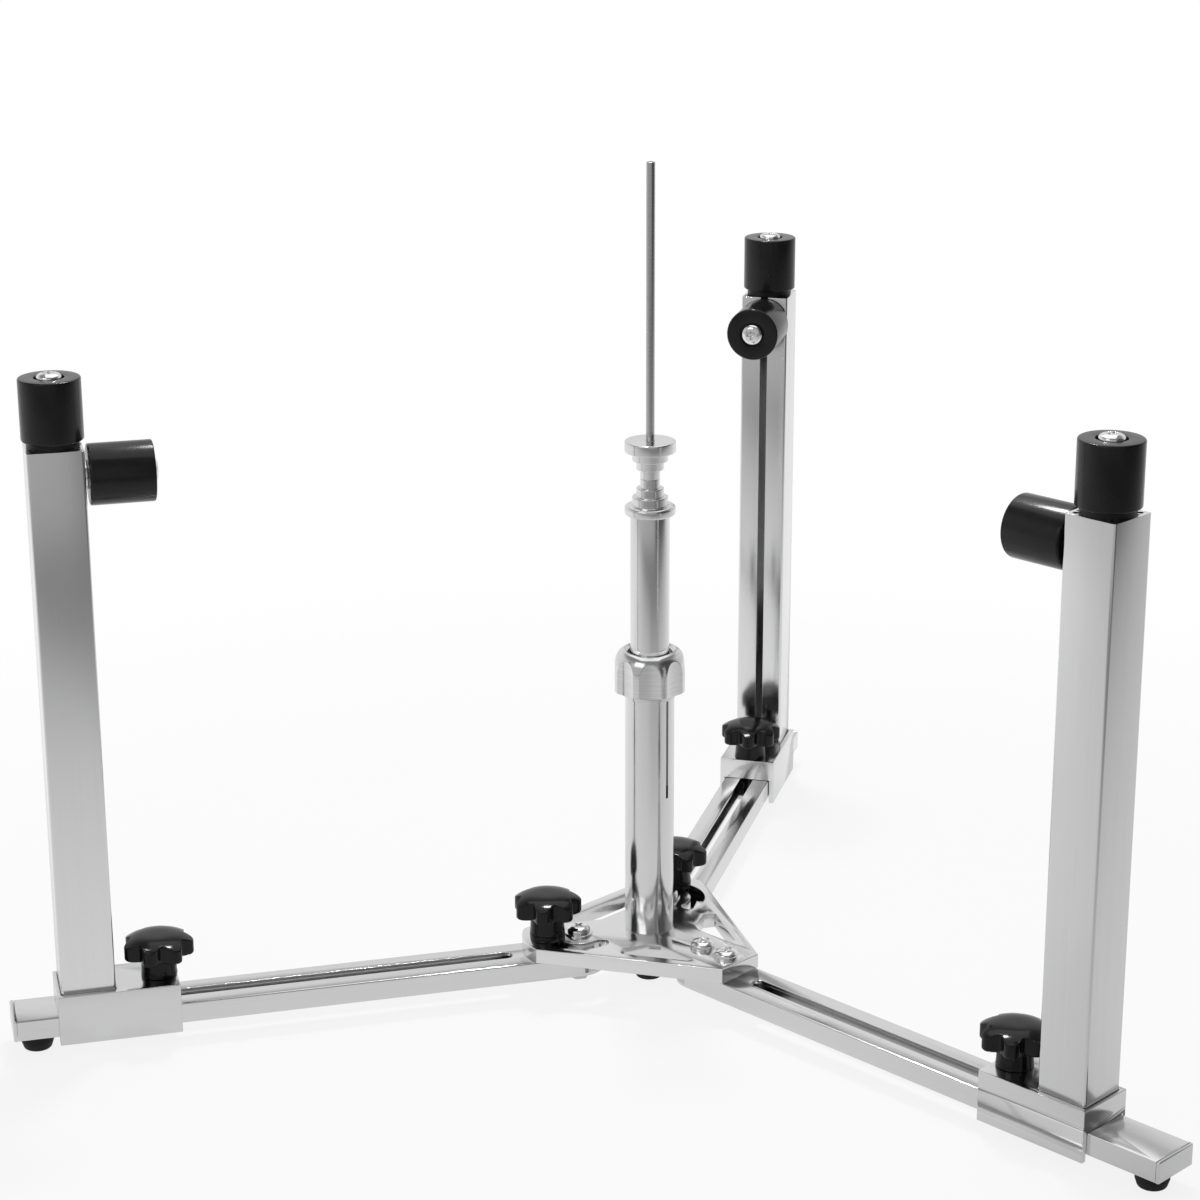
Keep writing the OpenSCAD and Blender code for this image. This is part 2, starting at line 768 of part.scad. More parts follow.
module rim_bolt() translate([0, 0, rim_top + head_rise - bolt_head_h])
  pan_screw(screw_r, rim_top + head_rise - bolt_head_h - upright_top + plug_depth,
    bolt_head_r, bolt_head_h);

// A roller along Z from 0 to l, with the recess for the screw's head at its far end.
module roller(l) {
  c = roller_chamfer;
  difference() {
    rotate_extrude()
      polygon([
        [0, 0], [roller_r - c, 0], [roller_r, c], [roller_r, l - c], [roller_r - c, l], [0, l]
      ]);
    disc(hole_r, -1, l + 1);
    disc(recess_r, l - recess_depth, l + 1);
  }
}

module rim_roller() translate([0, 0, rim_z]) roller(rim_roller_l);

// Turns a piece that stands on z = 0 so that it points at the post, at the side roller's height.
module sideways() translate([0, 0, side_z]) rotate([0, -90, 0]) children();

module side_roller() sideways() translate([0, 0, side_start]) roller(side_roller_l);

module side_mount() sideways() {
  face = upright_w / 2;
  head_at = side_end + head_rise - bolt_head_h;
  translate([0, 0, head_at]) pan_screw(screw_r, head_at - face - spacer_t, bolt_head_r, bolt_head_h);
  disc(slot_screw_r, hollow_half - slot_nut_t, face + spacer_t + eps);
  difference() {
    disc(spacer_r, face, face + spacer_t);
    disc(slot_screw_r, face - 1, face + spacer_t + 1);
  }
  difference() {
    translate([-slot_nut_l / 2, -slot_nut_w / 2, hollow_half - slot_nut_t])
      cube([slot_nut_l, slot_nut_w, slot_nut_t]);
    disc(slot_screw_r, 0, face);
  }
}

// ---------- placing ----------

hub_plate();
centre_boss();
centre_screw();
centre_foot();
hub_screws();
hub_nuts();
pivot_washers();
post_tube();
post_plug();
collet_nut();
upper_tube();
lower_cone();
axle_rod();
upper_cone();

color(silver) on_arm(right_dir) arm(false);  // arm_right
color(satin) on_arm(right_dir) arm_cap();  // arm_cap_right
color(rubber) on_arm(right_dir) arm_foot();  // arm_foot_right
color(steel) on_arm(right_dir) arm_bushes();  // arm_bushes_right

color(silver) on_arm(left_dir) arm(true);  // arm_left
color(satin) on_arm(left_dir) arm_cap();  // arm_cap_left
color(rubber) on_arm(left_dir) arm_foot();  // arm_foot_left
color(steel) on_arm(left_dir) arm_fittings();  // arm_fittings_left
color(black) on_arm(left_dir) hub_knob();  // hub_knob_left

color(silver) on_arm(back_dir) arm(true);  // arm_back
color(satin) on_arm(back_dir) arm_cap();  // arm_cap_back
color(rubber) on_arm(back_dir) arm_foot();  // arm_foot_back
color(steel) on_arm(back_dir) arm_fittings();  // arm_fittings_back
color(black) on_arm(back_dir) hub_knob();  // hub_knob_back

color(silver) on_arm(right_dir, right_at) saddle();  // saddle_right
color(steel) on_arm(right_dir, right_at) clamp_plate();  // clamp_plate_right
color(black) on_arm(right_dir, right_at) saddle_knob();  // saddle_knob_right
color(silver) on_arm(right_dir, right_at) upright();  // upright_right
color(steel) on_arm(right_dir, right_at) upright_screws();  // upright_screws_right
color(black) on_arm(right_dir, right_at) top_plug();  // top_plug_right
color(chrome) on_arm(right_dir, right_at) rim_bolt();  // rim_bolt_right
color(black) on_arm(right_dir, right_at) rim_roller();  // rim_roller_right
color(chrome) on_arm(right_dir, right_at) side_mount();  // side_mount_right
color(black) on_arm(right_dir, right_at) side_roller();  // side_roller_right

color(silver) on_arm(left_dir, left_at) saddle();  // saddle_left
color(steel) on_arm(left_dir, left_at) clamp_plate();  // clamp_plate_left
color(black) on_arm(left_dir, left_at) saddle_knob();  // saddle_knob_left
color(silver) on_arm(left_dir, left_at) upright();  // upright_left
color(steel) on_arm(left_dir, left_at) upright_screws();  // upright_screws_left
color(black) on_arm(left_dir, left_at) top_plug();  // top_plug_left
color(chrome) on_arm(left_dir, left_at) rim_bolt();  // rim_bolt_left
color(black) on_arm(left_dir, left_at) rim_roller();  // rim_roller_left
color(chrome) on_arm(left_dir, left_at) side_mount();  // side_mount_left
color(black) on_arm(left_dir, left_at) side_roller();  // side_roller_left

color(silver) on_arm(back_dir, back_at) saddle();  // saddle_back
color(steel) on_arm(back_dir, back_at) clamp_plate();  // clamp_plate_back
color(black) on_arm(back_dir, back_at) saddle_knob();  // saddle_knob_back
color(silver) on_arm(back_dir, back_at) upright();  // upright_back
color(steel) on_arm(back_dir, back_at) upright_screws();  // upright_screws_back
color(black) on_arm(back_dir, back_at) top_plug();  // top_plug_back
color(chrome) on_arm(back_dir, back_at) rim_bolt();  // rim_bolt_back
color(black) on_arm(back_dir, back_at) rim_roller();  // rim_roller_back
color(chrome) on_arm(back_dir, back_at) side_mount();  // side_mount_back
color(black) on_arm(back_dir, back_at) side_roller();  // side_roller_back
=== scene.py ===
"""The looks of a folding bench stand for truing a bicycle wheel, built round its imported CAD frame.

Lengths are in metres, in the frame's own place: Z is the post's axis, the floor is z = 0, and the
fixed arm runs along +X.
"""

import logging
import math
from dataclasses import dataclass
from enum import Enum
from typing import Sequence

import bmesh
import bpy
import numpy as np
from mathutils import Matrix, Vector
from mathutils.geometry import tessellate_polygon


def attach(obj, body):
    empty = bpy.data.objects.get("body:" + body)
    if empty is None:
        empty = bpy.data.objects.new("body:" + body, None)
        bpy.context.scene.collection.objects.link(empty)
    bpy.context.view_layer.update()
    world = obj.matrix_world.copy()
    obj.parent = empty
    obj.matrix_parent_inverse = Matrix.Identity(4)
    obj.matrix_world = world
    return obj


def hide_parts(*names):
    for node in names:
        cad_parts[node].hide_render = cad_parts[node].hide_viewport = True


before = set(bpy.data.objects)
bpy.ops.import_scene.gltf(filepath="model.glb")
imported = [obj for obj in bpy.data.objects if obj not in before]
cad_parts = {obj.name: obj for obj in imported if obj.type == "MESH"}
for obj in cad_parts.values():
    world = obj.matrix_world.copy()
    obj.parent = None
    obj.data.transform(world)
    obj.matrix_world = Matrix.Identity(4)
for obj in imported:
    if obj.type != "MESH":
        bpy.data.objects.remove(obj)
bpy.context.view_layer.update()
LOG = logging.getLogger("stand")
MM = 0.001
TAU = 2 * math.pi


class Arm(Enum):
    """The three arms, each with its direction in degrees and its upright's distance in millimetres."""

    RIGHT = ("right", 0.0, 306.0)
    LEFT = ("left", -120.0, 325.0)
    BACK = ("back", 120.0, 317.0)

    @property
    def label(self) -> str:
        """The word that ends this arm's node names."""
        return self.value[0]

    @property
    def turn(self) -> float:
        """The arm's direction about Z, in degrees."""
        return self.value[1]

    @property
    def upright_at(self) -> float:
        """How far the upright stands from the post's axis, in millimetres."""
        return self.value[2]

    def place(self, along: float = 0.0) -> Matrix:
        """The place of a piece on this arm, `along` millimetres from the post's axis."""
        turned = Matrix.Rotation(math.radians(self.turn), 4, "Z")
        return turned @ Matrix.Translation((along, 0, 0))


# ---------------------------------------------------------------- shader sockets


class Field:
    """A shader value. Python's operators on it add Math nodes."""

    def __init__(self, paint: "Nodes", socket: bpy.types.NodeSocket) -> None:
        """Wraps a socket of a material's node tree."""
        self.paint = paint
        self.socket = socket

    def _with(self, operation: str, *others: "Field | float", first: bool = True) -> "Field":
        """Adds one Math node.

        Args:
            operation: The Math node's operation.
            others: The other operands.
            first: Whether this value is the first operand.

        Returns:
            The node's value.
        """
        parts = [self, *others] if first else [*others, self]
        return self.paint.node("ShaderNodeMath", {"operation": operation}, parts)

    def __add__(self, other: "Field | float") -> "Field":
        """The sum."""
        return self._with("ADD", other)

    __radd__ = __add__

    def __sub__(self, other: "Field | float") -> "Field":
        """The difference."""
        return self._with("SUBTRACT", other)

    def __rsub__(self, other: "Field | float") -> "Field":
        """The difference, from a number."""
        return self._with("SUBTRACT", other, first=False)

    def __mul__(self, other: "Field | float") -> "Field":
        """The product."""
        return self._with("MULTIPLY", other)

    __rmul__ = __mul__

    def step(self, low: float, high: float) -> "Field":
        """Rises smoothly from 0 at `low` to 1 at `high`."""
        return self.paint.node(
            "ShaderNodeMapRange",
            {"interpolation_type": "SMOOTHSTEP"},
            {"Value": self, "From Min": low, "From Max": high},
        )


class Nodes:
    """A node tree, with one method that adds nodes."""

    def __init__(self, owner: bpy.types.Material | bpy.types.World, output: str) -> None:
        """Empties the owner's tree and gives it an output."""
        owner.use_nodes = True
        self.tree = owner.node_tree
        self.tree.nodes.clear()
        self.output = self.tree.nodes.new(output)

    def node(
        self,
        kind: str,
        settings: dict[str, object] | None = None,
        inputs: "dict[str | int, object] | list[object] | None" = None,
        out: str | int = 0,
    ) -> Field:
        """Adds a node, sets it, and fills its sockets.

        Args:
            kind: The node's type.
            settings: Its properties. "stops" holds a ramp's positions and greys.
            inputs: Values or links, by socket name or in order.
            out: The output that is returned.

        Returns:
            The chosen output.
        """
        made = self.tree.nodes.new(kind)
        for key, value in (settings or {}).items():
            if key == "stops":
                ramp = made.color_ramp
                while len(ramp.elements) < len(value):
                    ramp.elements.new(0.5)
                for element, (place, grey) in zip(ramp.elements, value):
                    element.position = place
                    element.color = (grey, grey, grey, 1)
            else:
                setattr(made, key, value)
        pairs = enumerate(inputs) if isinstance(inputs, list) else (inputs or {}).items()
        for key, value in pairs:
            if isinstance(value, Field):
                self.tree.links.new(value.socket, made.inputs[key])
            else:
                made.inputs[key].default_value = value
        return Field(self, made.outputs[out])

    def dot(self, way: Field, axis: Sequence[float]) -> Field:
        """How far a vector reaches along an axis."""
        return self.node("ShaderNodeVectorMath", {"operation": "DOT_PRODUCT"}, [way, axis], "Value")

    def show(self, shader: Field) -> None:
        """Sends a shader to the output's surface."""
        self.tree.links.new(shader.socket, self.output.inputs["Surface"])


class Paint(Nodes):
    """A material with a Principled shader."""

    def __init__(self, name: str) -> None:
        """Makes the material, with nothing but the shader."""
        self.material = bpy.data.materials.new(name)
        super().__init__(self.material, "ShaderNodeOutputMaterial")
        self.principled = self.node("ShaderNodeBsdfPrincipled")
        self.show(self.principled)

    def spot(self, turn: float = 0.0, scale: Sequence[float] = (1, 1, 1)) -> Field:
        """The point on the object in metres, turned back by `turn` degrees about Z and scaled."""
        place = self.node("ShaderNodeTexCoord", out="Object")
        return self.node(
            "ShaderNodeMapping",
            {"vector_type": "TEXTURE"},
            {
                "Vector": place,
                "Rotation": (0, 0, math.radians(turn)),
                "Scale": tuple(1 / s for s in scale),
            },
        )

    def noise(self, point: Field, scale: float, detail: float = 3.0, rough: float = 0.55) -> Field:
        """Cloudy noise from 0 to 1 at a point."""
        return self.node(
            "ShaderNodeTexNoise",
            {"noise_dimensions": "3D"},
            {"Vector": point, "Scale": scale, "Detail": detail, "Roughness": rough},
        )

    def grey(self, value: Field, low: Sequence[float], high: Sequence[float]) -> Field:
        """A colour between `low` and `high`."""
        return self.node(
            "ShaderNodeMix",
            {"data_type": "RGBA"},
            {"Factor": value, 6: (*low, 1), 7: (*high, 1)},
            out=2,
        )

    def bump(self, height: Field, depth: float, strength: float = 1.0) -> Field:
        """A normal from a height of `depth` metres."""
        return self.node(
            "ShaderNodeBump", None, {"Height": height, "Distance": depth, "Strength": strength}
        )

    def finish(self, **sockets: object) -> bpy.types.Material:
        """Fills the Principled shader's sockets, written with _ for a space, and gives the material."""
        for key, value in sockets.items():
            target = self.principled.socket.node.inputs[key.replace("_", " ")]
            if isinstance(value, Field):
                self.tree.links.new(value.socket, target)
            else:
                target.default_value = value
        return self.material


# ---------------------------------------------------------------- finishes


@dataclass(frozen=True)
class DrawnAluminium:
    """Satin aluminium with fine lines along the way it was drawn or brushed.

    `tone` is its grey, `line` and `stretch` the lines' fineness and length, `depth` their depth in metres.
    """

    name: str
    turn: float = 0.0
    upright: bool = False
    tone: float = 0.80
    rough: float = 0.17
    line: float = 900.0
    stretch: float = 0.012
    depth: float = 0.0000018
    slot: str = "satin_aluminium"

    def make(self) -> bpy.types.Material:
        """Builds the material: stretched noise makes the lines, and a soft cloud varies the gloss."""
        paint = Paint(self.name)
        long = (1, 1, self.stretch) if self.upright else (self.stretch, 1, 1)
        lines = paint.noise(paint.spot(self.turn, long), self.line, 4, 0.6)
        broad = paint.noise(paint.spot(self.turn, long), self.line * 0.16, 2, 0.5)
        cloud = paint.noise(paint.spot(), 26.0, 3, 0.5)
        mark = lines * 0.55 + broad * 0.45
        low, high = self.tone * 0.98, min(1.0, self.tone * 1.015)
        colour = paint.grey(mark.step(0.25, 0.75), (low, low, low * 1.006), (high, high, high * 1.004))
        rough = (mark - 0.5) * 0.05 + (cloud - 0.5) * 0.04 + self.rough
        return paint.finish(
            Base_Color=colour,
            Metallic=1.0,
            Roughness=rough,
            Normal=paint.bump(mark, self.depth, 0.6),
        )


@dataclass(frozen=True)
class TurnedMetal:
    """Metal with fine rings from the lathe."""

    name: str
    tone: float = 0.78
    rough: float = 0.2
    rings: float = 1500.0
    depth: float = 0.000005
    slot: str = "turned_aluminium"

    def make(self) -> bpy.types.Material:
        """Builds the material: noise squeezed along Z makes the rings."""
        paint = Paint(self.name)
        rings = paint.noise(paint.spot(0, (0.02, 0.02, 1)), self.rings, 3, 0.6)
        cloud = paint.noise(paint.spot(), 60.0, 3, 0.5)
        low, high = self.tone * 0.94, min(1.0, self.tone * 1.04)
        colour = paint.grey(rings.step(0.3, 0.7), (low, low, low * 1.008), (high, high, high * 1.005))
        rough = (rings - 0.5) * 0.12 + (cloud - 0.5) * 0.06 + self.rough
        return paint.finish(
            Base_Color=colour, Metallic=1.0, Roughness=rough, Normal=paint.bump(rings, self.depth, 0.6)
        )


@dataclass(frozen=True)
class Plated:
    """Bright plating with a trace of haze."""

    name: str
    tone: float = 0.86
    rough: float = 0.1
    slot: str = "chrome_steel"

    def make(self) -> bpy.types.Material:
        """Builds the material: a faint cloud in the colour and the gloss."""
        paint = Paint(self.name)
        cloud = paint.noise(paint.spot(), 420.0, 4, 0.6)
        low, high = self.tone * 0.95, min(1.0, self.tone * 1.03)
        colour = paint.grey(cloud.step(0.3, 0.7), (low, low, low), (high, high, high * 1.01))
        rough = (cloud - 0.5) * 0.08 + self.rough
        return paint.finish(
            Base_Color=colour,
            Metallic=1.0,
            Roughness=rough,
            Normal=paint.bump(cloud, 0.000004, 0.5),
        )


@dataclass(frozen=True)
class BlackPlastic:
    """Black moulded or turned plastic, with a fine grain."""

    name: str
    tone: float = 0.012
    rough: float = 0.22
    grain: float = 2600.0
    depth: float = 0.000006
    wander: float = 0.05
    index: float = 1.5
    slot: str = "black_plastic"

    def make(self) -> bpy.types.Material:
        """Builds the material: fine grain in the bump, and a slow cloud in colour and gloss."""
        paint = Paint(self.name)
        grain = paint.noise(paint.spot(), self.grain, 2, 0.5)
        cloud = paint.noise(paint.spot(), 90.0, 4, 0.6)
        low, high = self.tone * 0.82, self.tone * 1.25
        colour = paint.grey(cloud.step(0.3, 0.7), (low, low, low), (high, high, high))
        rough = (cloud - 0.5) * self.wander * 2 + (grain - 0.5) * self.wander + self.rough
        return paint.finish(
            Base_Color=colour, Roughness=rough, IOR=self.index, Normal=paint.bump(grain, self.depth, 0.7)
        )


# ---------------------------------------------------------------- surfaces


def ring_faces(rows: int, columns: int, closed: bool = True) -> np.ndarray:
    """Quads of a grid of points, row by row.

    Args:
        rows: Points along the first parameter.
        columns: Points along the second parameter.
        closed: Whether the last column meets the first.

    Returns:
        An array of four point numbers a quad.
    """
    across = columns if closed else columns - 1
    i, j = np.meshgrid(np.arange(rows - 1), np.arange(across), indexing="ij")
    k = (j + 1) % columns
    quad = [i * columns + j, i * columns + k, (i + 1) * columns + k, (i + 1) * columns + j]
    return np.stack(quad, -1).reshape(-1, 4)


def polar(radius: float, angle: float | np.ndarray) -> np.ndarray:
    """The points at a distance from the middle, at angles in radians."""
    return np.stack([radius * np.cos(angle), radius * np.sin(angle)], -1)


def filleted(points: Sequence[Sequence[float]], radii: Sequence[float], steps: int = 5) -> np.ndarray:
    """A line through points whose inner corners are rounded.

    Each corner becomes an arc of its radius, tangent to both its sides: the arc's middle lies on the
    corner's bisector, at the radius over the sine of half the corner's angle.

    Args:
        points: The corners, in order.
        radii: One radius a corner. The ends, and corners of radius 0, stay sharp.
        steps: Steps in an arc of a right angle.

    Returns:
        The rounded line's points.
    """
    pts = np.asarray(points, float)
    out: list[np.ndarray] = []
    for n, (point, radius) in enumerate(zip(pts, radii)):
        if radius <= 0 or n in (0, len(pts) - 1):
            out.append(point[None])
            continue
        out.append(_corner(pts[n - 1], point, pts[n + 1], radius, steps))
    return np.concatenate(out)


def dense(line: np.ndarray, step: float) -> tuple[np.ndarray, np.ndarray]:
    """The line's first and second numbers at even steps along it, its corners kept."""
    length = np.linalg.norm(np.diff(line, axis=0), axis=1)
    along = np.concatenate([[0], np.cumsum(length)])
    marks = np.unique(np.concatenate([along, np.arange(0, along[-1], step)]))
    return np.interp(marks, along, line[:, 0]), np.interp(marks, along, line[:, 1])


def _corner(before: np.ndarray, at: np.ndarray, after: np.ndarray, radius: float, steps: int) -> np.ndarray:
    """The arc that rounds one corner. See filleted."""
    u, v = before - at, after - at
    room = min(np.linalg.norm(u), np.linalg.norm(v))
    u, v = u / np.linalg.norm(u), v / np.linalg.norm(v)
    half = math.acos(max(-1.0, min(1.0, float(u @ v)))) / 2
    if half > math.pi / 2 - 1e-3 or half < 1e-3:
        return at[None]
    radius = min(radius, 0.49 * room * math.tan(half))
    middle = at + (u + v) / np.linalg.norm(u + v) * radius / math.sin(half)
    start = at + u * radius / math.tan(half) - middle
    end = at + v * radius / math.tan(half) - middle
    a0 = math.atan2(start[1], start[0])
    sweep = (math.atan2(end[1], end[0]) - a0 + math.pi) % TAU - math.pi
    count = max(2, int(math.ceil(steps * abs(sweep) / (math.pi / 2))))
    a = a0 + sweep * np.linspace(0, 1, count + 1)
    return middle + polar(radius, a)


def loop(points: Sequence[Sequence[float]], radius: float | Sequence[float], steps: int = 5) -> np.ndarray:
    """A closed outline with rounded corners. The radius is one for all corners, or one each."""
    n = len(points)
    radii = [radius] * n if isinstance(radius, (int, float)) else list(radius)
    wrapped = [points[-1], *points, points[0]]
    line = filleted(wrapped, [0, *radii, 0], steps)
    return line[1:-1]


def circle(radius: float, count: int = 64, at: Sequence[float] = (0, 0)) -> np.ndarray:
    """A circle's points, counter-clockwise."""
    return np.asarray(at, float) + polar(radius, np.arange(count) * TAU / count)


def slot_outline(x0: float, x1: float, width: float, count: int = 16) -> np.ndarray:
    """A slot with round ends along X, counter-clockwise: two half circles."""
    r = width / 2
    a = np.linspace(-math.pi / 2, math.pi / 2, count)
    return np.concatenate([(x1 - r, 0) + polar(r, a), (x0 + r, 0) - polar(r, a)])


def inset(points: np.ndarray, distance: float) -> np.ndarray:
    """A closed counter-clockwise outline moved inward.

    Each point moves along the mean of its two sides' inward normals, by the distance over the cosine
    of half the turn, so that every side keeps its direction.
    """
    side = np.roll(points, -1, 0) - points
    side /= np.maximum(np.linalg.norm(side, axis=1, keepdims=True), 1e-12)
    inward = np.stack([-side[:, 1], side[:, 0]], -1)
    mean = inward + np.roll(inward, 1, 0)
    mean /= np.maximum((mean * mean).sum(1, keepdims=True), 1e-9) / 2
    return points + distance * mean


class Shell:
    """Points and faces in millimetres, gathered from several surfaces and then made one mesh."""

    def __init__(self) -> None:
        """Starts with nothing."""
        self.points: list[np.ndarray] = []
        self.faces: list[tuple[int, ...]] = []
        self.count = 0

    def add(
        self, points: np.ndarray, faces: Sequence[Sequence[int]], place: Matrix | None = None
    ) -> "Shell":
        """Adds a surface.

        Args:
            points: Its points, three numbers each.
            faces: Its faces, by point number.
            place: Where it stands, in millimetres.

        Returns:
            This shell.
        """
        points = np.asarray(points, float).reshape(-1, 3)
        if place is not None:
            m = np.array(place)
            points = points @ m[:3, :3].T + m[:3, 3]
        self.points.append(points)
        self.faces += (np.asarray(f) + self.count for f in faces)
        self.count += len(points)
        return self

    def grid(self, points: np.ndarray, place: Matrix | None = None, closed: bool = True) -> "Shell":
        """Adds a surface given as a grid of points, rows by columns by three."""
        return self.add(points, ring_faces(points.shape[0], points.shape[1], closed), place)

    def turned(self, profile: np.ndarray, place: Matrix | None = None, segments: int = 72) -> "Shell":
        """Adds a turned surface: the profile's (radius, height) carried round Z by the angle.

        The profile runs up its outside, so that the faces point outward.
        """
        a = np.arange(segments) * TAU / segments
        r, z = profile[:, 0], profile[:, 1]
        grid = np.stack(
            [np.outer(r, np.cos(a)), np.outer(r, np.sin(a)), np.repeat(z[:, None], segments, 1)], -1
        )
        return self.grid(grid, place)

    def prism(
        self,
        outline: np.ndarray,
        holes: Sequence[np.ndarray],
        low: float,
        high: float,
        bevel: float | tuple[float, float],
        place: Matrix | None = None,
        hole_bevel: float | tuple[float, float] | None = None,
    ) -> "Shell":
        """Adds a plate: its outline and holes carried from `low` to `high`, with rounded rims.

        Each wall is a grid of outline point by height. Near both ends the outline is moved in by
        the bevel times one less the cosine of the rim's angle, and lies at the bevel times one less
        its sine from the face.

        Args:
            outline: The outer edge, counter-clockwise.
            holes: The holes' edges, counter-clockwise.
            low: The bottom's height.
            high: The top's height.
            bevel: The rounding of the outer rims, or of the lower and the upper one.
            place: Where the plate stands.
            hole_bevel: The rounding of the holes' rims, if it is another one.

        Returns:
            This shell.
        """
        pair = lambda b: b if isinstance(b, tuple) else (b, b)
        outer, inner = pair(bevel), pair(bevel if hole_bevel is None else hole_bevel)
        caps: tuple[list[np.ndarray], list[np.ndarray]] = ([], [])
        a = np.linspace(0, math.pi / 2, 4)
        for number, line in enumerate([outline, *holes]):
            (below, above), sign = (outer, 1.0) if number == 0 else (inner, -1.0)
            steps = np.concatenate([below * (1 - np.sin(a)), above * (1 - np.sin(a[::-1]))])
            height = np.concatenate([low + below * (1 - np.cos(a)), high - above * (1 - np.cos(a[::-1]))])
            rows = [
                np.column_stack([inset(line, sign * s), np.full(len(line), h)])
                for s, h in zip(steps, height)
            ]
            wall = np.stack(rows)
            faces = ring_faces(len(rows), len(line))
            self.add(wall, faces if number == 0 else faces[:, ::-1], place)
            caps[0].append(inset(line, sign * below))
            caps[1].append(inset(line, sign * above))
        for level, up, ends in ((low, False, caps[0]), (high, True, caps[1])):
            lines = [[Vector((*p, level)) for p in line] for line in ends]
            flat = np.array([tuple(v) for line in lines for v in line])
            faces = np.array(tessellate_polygon(lines))
            a, b, c = (flat[faces[:, k], :2] for k in range(3))
            area = np.cross(b - a, c - a)
            faces = faces[np.abs(area) > 1e-9]
            area = area[np.abs(area) > 1e-9]
            wrong = (area > 0) != up
            faces[wrong] = faces[wrong][:, ::-1]
            self.add(flat, faces, place)
        return self

    def piece(self, name: str, smooth: float = 32.0) -> bpy.types.Object:
        """Makes the mesh, in metres, closed at seams and poles.

        Args:
            name: The piece's name.
            smooth: Edges sharper than this many degrees stay sharp.

        Returns:
            The object, at the origin.
        """
        mesh = bpy.data.meshes.new(name)
        points = np.concatenate(self.points) * MM
        mesh.from_pydata(points.tolist(), [], [list(map(int, f)) for f in self.faces])
        work = bmesh.new()
        work.from_mesh(mesh)
        bmesh.ops.remove_doubles(work, verts=work.verts, dist=2e-7)
        bmesh.ops.dissolve_degenerate(work, edges=work.edges, dist=1e-8)
        work.to_mesh(mesh)
        work.free()
        mesh.polygons.foreach_set("use_smooth", np.ones(len(mesh.polygons), bool))
        mesh.set_sharp_from_angle(angle=math.radians(smooth))
        made = bpy.data.objects.new(name, mesh)
        bpy.context.scene.collection.objects.link(made)
        return made


# ---------------------------------------------------------------- small parts

POINT_IN = Matrix.Rotation(math.radians(-90), 4, "Y")
# How far each saddle knob's lobes are turned from its arm's direction, in degrees.
KNOB_TURN = {Arm.RIGHT: 42.1, Arm.LEFT: 16.2, Arm.BACK: 32.7}


@dataclass
class PanHead:
    """A pan head with a cross recess, standing on z = 0, with its shank below."""

    radius: float = 6.75
    height: float = 4.2
    shank_radius: float = 3.0
    shank: float = 30.0
    cross_width: float = 0.8
    cross_reach: float = 3.1
    cross_depth: float = 2.0

    def put(self, shell: Shell, place: Matrix) -> Shell:
        """Adds the head and shank.

        The top is a polar grid: its height is an ellipse's quarter over the radius, less the cross,
        whose depth falls off over a short slope at the cross's sides and ends.
        """
        self._top(shell, place)
        r, inner, low = self.radius, self.shank_radius, -self.shank
        profile = np.array([(0, low), (inner - 0.5, low), (inner, low + 0.5), (inner, 0), (r - 0.15, 0),
                            (r, 0.15), (r, self.height * 0.32)])
        return shell.turned(profile, place, 96)

    def _top(self, shell: Shell, place: Matrix) -> None:
        """Adds the domed top."""
        columns, rim = 96, self.height * 0.32
        t = np.linspace(0, 1, 46)[:, None]
        a = np.arange(columns)[None] * TAU / columns
        r = self.radius * (1 - t) * np.ones_like(a)
        x, y = r * np.cos(a), r * np.sin(a)
        share = np.clip(r / self.radius, 0, 1)
        dome = rim + (self.height - rim) * np.sqrt(np.clip(1 - share**3.2, 0, 1))
        near, far = np.minimum(abs(x), abs(y)), np.maximum(abs(x), abs(y))
        across = np.clip((self.cross_width - near) / (self.cross_width * 0.45), 0, 1)
        along = np.clip((self.cross_reach - far) / 1.1, 0, 1)
        cut = np.minimum(across, along)
        z = dome - self.cross_depth * cut * cut * (3 - 2 * cut)
        shell.grid(np.stack([x, y, z], -1), place)


